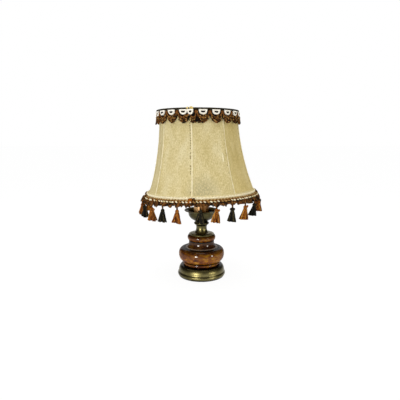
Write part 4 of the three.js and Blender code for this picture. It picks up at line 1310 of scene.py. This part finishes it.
def hang_loops(fringe):
    """Two rows of chenille loops; the lower row hangs deepest at the tassels and halfway between them."""
    tips = []
    for number in range(TASSELS):
        here = tassel_angle(number)
        after = tassel_angle(number + 1) if number + 1 < TASSELS else TASSEL_FIRST + TURN
        tips += [here, (here + after) / 2]
    tips.append(TASSEL_FIRST + TURN)
    for number, (here, after) in enumerate(zip(tips, tips[1:])):
        between = round((after - here) / LOOP_PITCH)
        for k in range(between):
            angle = here + (after - here) * (k + random.uniform(-0.2, 0.2)) / between
            lobe = (0.5 + 0.5 * math.cos(TURN * k / between)) ** 2
            sideways = abs(math.sin(angle))
            long = LOOP_LONG * math.exp(-((sideways - 0.84) / 0.12) ** 2)
            low = fringe_foot + LOOP_R - LOOP_LOBE * lobe * random.uniform(0.5, 1.1)
            low += random.uniform(-0.004, 0.0006) - long * random.uniform(0.4, 1.0)
            bunch = 0.003 if angle > math.pi else -0.0008
            stand = random.uniform(-0.0014, 0.0014) + bunch * sideways ** 8
            fluff = lumpy(0.5, number * 9 + k)
            for top, foot in ((-0.0032, -0.0078), (-0.0056, low)):
                half = LOOP_PITCH * random.uniform(0.4, 0.62)
                aside = angle + LOOP_PITCH * random.uniform(-0.3, 0.3)
                belly = (top + foot) / 2
                loop = [(-half, top), (-half * 1.2, belly), (-half * 0.7, foot + 0.001), (0, foot)]
                loop += [(half * 0.7, foot + 0.001), (half * 1.2, belly), (half, top)]
                path = [on_shade(aside + x, z, fringe_out(z) + stand) for x, z in smooth(loop, 2)]
                fringe.yarn(path, outward(angle), LOOP_R, fluff, 6, random.choice(LOOP_PAINTS))


def hang_cords(fringe):
    """Two yarns that lead from the fringe's face to each tassel's hook."""
    for number in range(TASSELS):
        angle = tassel_angle(number)
        for side, paint in ((-1, CHENILLE), (1, GIMP)):
            beside = angle + side * HOOK_YARN_ASIDE / SHADE_BOTTOM_R
            path = []
            for z, proud in ((-0.001, 0.0016), (-0.0055, 0.0016), (-0.0095, 0.001)):
                path.append(on_shade(beside, z, fringe_out(z) + proud))
            path.append(hook_of(number) + UP * TASSEL_CORD_R)
            fluff = lumpy(0.25, number * 2 + side)
            fringe.yarn(smooth(path, 5), outward(angle), HOOK_YARN_R, fluff, 7, paint)


def add_curls(fringe):
    """Loose curls at both sides of the fringe."""
    steps = 10
    for k in range(CURLS):
        right = k % 2
        angle = (math.pi / 2 + random.uniform(-0.3, 0.3)) * (1 if right else -1)
        high = random.uniform(-0.003, 0.0072)
        size = random.uniform(0.0022, 0.0036)
        stand = fringe_out(high) + random.uniform(0.0, 0.0034) - (0.0014 if right else 0.0)
        curl = []
        for i in range(steps + 1):
            a = 1.7 * math.pi * i / steps
            drop = high - size * (1 - math.cos(a))
            curl.append(on_shade(angle + 0.4 * size * i / SHADE_BOTTOM_R, drop, stand + size * math.sin(a)))
        along = outward(angle).cross(UP)
        fringe.yarn(curl, along, 1.2 * LOOP_R, lumpy(0.4, k), 7, random.choice(CURL_PAINTS))


def bind_joint(fringe):
    """Turns of yarn that bind the fringe's lapped ends."""
    steps = 5
    for k in range(BINDINGS):
        angle = FRINGE_JOINT + (k - BINDINGS / 2) * BINDING_PITCH / SHADE_BOTTOM_R
        top = BINDING_TOP + random.uniform(-0.001, 0.001)
        low = BINDING_LOW + random.uniform(-0.001, 0.001)
        path = []
        for i in range(steps + 1):
            z = top + (low - top) * i / steps
            path.append(on_shade(angle, z, fringe_out(z) + BINDING_PROUD))
        fringe.tube(path, outward(angle), BINDING_R, 7, paint=ORANGE if k < ORANGE_BINDINGS else CHENILLE)


def make_fringe():
    """The woven braid round the bottom: cream edge, brown zigzag, cream dots, and loops of chenille below."""
    fringe = Shape()
    for work in (weave_ground, weave_rows, weave_dots, hang_loops, hang_cords, add_curls, bind_joint):
        work(fringe)
    paints = [CHENILLE, EDGE_CREAM, GIMP, SHADOW_YARN, ORANGE, GIMP_PALE, GROUND_CREAM]
    fringe.piece("fringe_braid", "shade", paints, "fringe_braid", "bottom_braid")


# Tassels

def make_tassel(number):
    """One tassel: a brown cord, a bound knot with loose ends, and a skirt of yarn in locks, cut askew."""
    hook = hook_of(number)
    black = number % 2 == 0
    plain, dark, pale = (BLACK, BLACK_DEEP, BLACK_PALE) if black else (ORANGE, ORANGE_DARK, ORANGE_PALE)
    tassel = Shape()
    knot_top = -TASSEL_CORD
    neck = knot_top - TASSEL_KNOT
    head_steps, strand_steps = 12, 8
    for side in (-1, 1):
        drop = [(0.0009, 0.0014), (0.0012, 0.0), (0.0009, knot_top * 0.6), (0.0006, knot_top - 0.002)]
        path = [Vector((x, 0, z)) for x, z in smooth([(side * x, z) for x, z in drop], 4)]
        tassel.yarn(path, FRONT, TASSEL_CORD_R, lumpy(0.25, number + side, hook), 7, CHENILLE)
    head = []
    for k in range(head_steps + 1):
        t = k / head_steps
        r = TASSEL_KNOT_R * math.sin(math.pi * (0.1 + 0.72 * t)) ** 0.7
        head.append((r, knot_top + 0.0006 - t * (TASSEL_KNOT + 0.0016)))

    def ridges(a, r, z):
        return TASSEL_RIDGE * math.cos(TASSEL_RIDGES * a + TASSEL_TWIST * z)

    tassel.lathe(head, 48, ridge=ridges)
    for k, paint in enumerate((dark, pale, dark)):
        z = neck + TASSEL_WRAP_UP - k * TASSEL_WRAP_PITCH
        wrap = [Vector((TASSEL_WRAP_R * c, TASSEL_WRAP_R * s, z)) for c, s in circle(24)]
        tassel.tube(wrap, UP, TASSEL_WRAP_YARN, 6, looped=True, paint=paint)
    for side in EARS.get(number, random.choice(((), (1,), (-1,), (-1, 1)))):
        a = random.uniform(-0.4, 0.4)
        out = Vector((side * math.cos(a), math.sin(a), 0))
        reach = random.uniform(0.006, 0.0078)
        base = neck + random.uniform(-0.0008, 0.0022)
        ear = ((0.003, neck + 0.002), (reach, base + 0.004), (reach + 0.0014, base + 0.0018),
               (reach - 0.001, base), (0.003, neck + 0.001))
        path = smooth([out * away + UP * z for away, z in ear], 5)
        tassel.tube(path, out.cross(UP), TASSEL_EAR_R, 6, paint=random.choice((plain, dark)))
    locks = LOCKS.get(number, random.choice((3, 4, 5)))
    usual = (1.0, random.uniform(-0.15, 0.02), random.uniform(-0.08, 0.08), 1.0)
    length, lean_x, lean_y, width = FORMS.get(number, usual)
    end = neck - TASSEL_SKIRT * length
    askew = random.uniform(-0.24, -0.06)
    first = random.uniform(0, TURN / locks) if number not in LOCKS else 0.0
    drift = [(random.uniform(0.92, 1.06), random.uniform(-0.0012, 0.0008)) for k in range(locks)]
    gathered = 0.8 if locks == 2 else 0.42
    for k in range(TASSEL_STRANDS):
        share = math.sqrt((k + 0.5) / TASSEL_STRANDS)
        a = k * GOLDEN_TURN % TURN
        lock = round((a - first) / TURN * locks)
        wider, lower = drift[lock % locks]
        middle = first + TURN * lock / locks
        b = a + (middle - a) * gathered + random.uniform(-0.12, 0.12)
        reach = TASSEL_SKIRT_R * width * share * wider * random.uniform(0.95, 1.06)
        near = TASSEL_NECK_R * share
        tip = end + lower + random.uniform(-0.0006, 0.001)
        paint = random.choice((plain, plain, dark, dark, pale)) if share > 0.55 else dark
        path = []
        for j in range(strand_steps + 1):
            t = j / strand_steps
            flare = near + (reach - near) * t ** 0.9
            turn_by = a + (b - a) * t
            sway = 0.0006 * math.sin(5 * t + k)
            x = flare * math.cos(turn_by) + lean_x * TASSEL_SKIRT * t + sway
            y = 0.8 * flare * math.sin(turn_by) + lean_y * TASSEL_SKIRT * t
            path.append(Vector((x, y, neck + (tip - neck) * t + askew * x * t)))
        away = FRONT if abs(path[-1].x) > abs(path[-1].y) else Vector((1, 0, 0))
        tassel.tube(path, away, random.uniform(0.001, 0.0014), 6, paint=paint)
    tassel.move(Matrix.Translation(hook) @ Matrix.Rotation(tassel_angle(number), 4, "Z"))
    name = f"tassel_{number + 1:02d}"
    slot = "black_tassel" if black else "orange_tassel"
    tassel.piece(f"yarn_{name}", name, [plain, CHENILLE, dark, pale], slot, name)


# Solids that stay as they are, with a finish

def dress_solids():
    finishes = {"ballast": IRON, "base_washer": STEEL, "base_nut": STEEL, "stem_tube": STEEL,
                "bowl_nut": BRASS, "holder_insert": PORCELAIN}
    for node, paint in finishes.items():
        mesh = frame["nodes"][node].data
        mesh.materials.clear()
        mesh.materials.append(paint)


# Studio

def aimed(name, data, at, target):
    """A camera or lamp that stands at one point and looks at another."""
    thing = bpy.data.objects.new(name, data)
    thing.location = at
    thing.rotation_euler = (Vector(target) - Vector(at)).to_track_quat("-Z", "Y").to_euler()
    bpy.context.scene.collection.objects.link(thing)
    return thing


def make_camera():
    data = bpy.data.cameras.new("camera")
    data.sensor_width = SENSOR
    data.lens = SENSOR * FOCAL_PIXELS / IMAGE_SIDE
    data.shift_x = (IMAGE_SIDE / 2 - AIM_PIXEL[0]) / IMAGE_SIDE
    data.shift_y = (AIM_PIXEL[1] - IMAGE_SIDE / 2) / IMAGE_SIDE
    bpy.context.scene.camera = aimed("camera", data, CAMERA_AT, CAMERA_AIM)


def make_light(name, at, target, size, watts, tint, glint=False):
    """A soft box; one that is a glint shows only in gloss."""
    data = bpy.data.lights.new(name, "AREA")
    data.shape = "RECTANGLE"
    data.size, data.size_y = size
    data.energy = watts
    data.color = tint
    light = aimed(name, data, at, target)
    light.visible_camera = False
    light.visible_diffuse = not glint


def seen_plainly(tree):
    """1 for rays from the camera, or off gloss or through glass, and 0 for light that falls on things."""
    path = tree.nodes.new("ShaderNodeLightPath")
    total = path.outputs["Is Camera Ray"]
    for kind in ("Is Glossy Ray", "Is Transmission Ray"):
        node = tree.nodes.new("ShaderNodeMath")
        node.operation = "MAXIMUM"
        tree.links.new(total, node.inputs[0])
        tree.links.new(path.outputs[kind], node.inputs[1])
        total = node.outputs[0]
    return total


def make_world():
    world = bpy.data.worlds.new("studio")
    world.use_nodes = True
    bpy.context.scene.world = world
    tree = world.node_tree
    background = tree.nodes["Background"]
    background.inputs["Color"].default_value = WHITE
    strength = tree.nodes.new("ShaderNodeMapRange")
    strength.inputs["To Min"].default_value = AMBIENT
    strength.inputs["To Max"].default_value = 1.0
    tree.links.new(seen_plainly(tree), strength.inputs["Value"])
    tree.links.new(strength.outputs[0], background.inputs["Strength"])


def stage_piece(name, points, faces, paint):
    """A mesh that belongs to the studio and not to the lamp."""
    mesh = bpy.data.meshes.new(name)
    mesh.from_pydata(points, [], faces)
    mesh.materials.append(paint.material)
    piece = bpy.data.objects.new(name, mesh)
    bpy.context.scene.collection.objects.link(piece)
    return piece


def make_card():
    """A dark card that stands round the lamp out of sight, so that brass and lacquer have dark edges."""
    paint = Paint("dark_card", base_color=colour("#1c1812"), roughness=1.0)
    points = []
    for i in range(CARD_PANELS + 1):
        azimuth = math.radians(-CARD_ROUND + 2 * CARD_ROUND * i / CARD_PANELS)
        x, y = -CARD_AWAY * math.sin(azimuth), -CARD_AWAY * math.cos(azimuth)
        points += [(x, y, CARD_LOW), (x, y, CARD_HIGH)]
    faces = [(2 * i, 2 * i + 2, 2 * i + 3, 2 * i + 1) for i in range(CARD_PANELS)]
    card = stage_piece("dark_card", points, faces, paint)
    card.visible_camera = False
    card.visible_diffuse = False
    card.visible_shadow = False


def make_floor():
    """A pale floor: white to the camera, apart from the lamp's own soft shadow."""
    paint = Paint("floor", base_color=FLOOR_GREY, roughness=1.0, specular_ior_level=0.0)
    glow = paint.add("ShaderNodeEmission", {"Strength": FLOOR_GLOW})
    share = paint.math("MULTIPLY", seen_plainly(paint.tree), FLOOR_WHITE)
    mix = paint.add("ShaderNodeMixShader", {0: share, 1: paint.shader.outputs[0], 2: glow})
    paint.tree.links.new(mix, paint.tree.nodes["Material Output"].inputs["Surface"])
    corners = [(FLOOR_REACH * x, FLOOR_REACH * y, 0) for x, y in ((-1, -1), (1, -1), (1, 1), (-1, 1))]
    stage_piece("floor", corners, [(0, 1, 2, 3)], paint)


make_camera()
make_world()
make_floor()
make_light("key", at=(-0.8, -1.5, 0.24), target=(0, 0, 0.22), size=(0.36, 0.36), watts=8,
           tint=(1, 0.97, 0.92))
make_light("fill", at=(1.35, -0.95, 0.28), target=(0, 0, 0.2), size=(0.24, 0.24), watts=2.7,
           tint=(1, 0.94, 0.7))
make_light("top", at=(-0.1, -0.2, 1.7), target=(0, 0, 0.3), size=(1.2, 1.2), watts=9, tint=(1, 1, 1))
make_light("key_glint", at=(-0.75, -1.5, 0.16), target=(0, 0, 0.1), size=(0.44, 0.24), watts=18,
           tint=(1, 0.98, 0.94), glint=True)
make_light("fill_glint", at=(1.3, -1.0, 0.26), target=(0, 0, 0.1), size=(0.24, 0.2), watts=7,
           tint=(1, 0.98, 0.94), glint=True)
make_card()
bpy.context.scene.view_settings.view_transform = "Standard"

for make in (make_foot, make_body, make_ring, make_neck, make_bowl, make_holder, make_bulb, make_bush,
             make_frame, make_gores, make_seams, make_tape, make_edging, make_top_braid, make_fringe):
    make()
for tassel_number in range(TASSELS):
    make_tassel(tassel_number)
dress_solids()
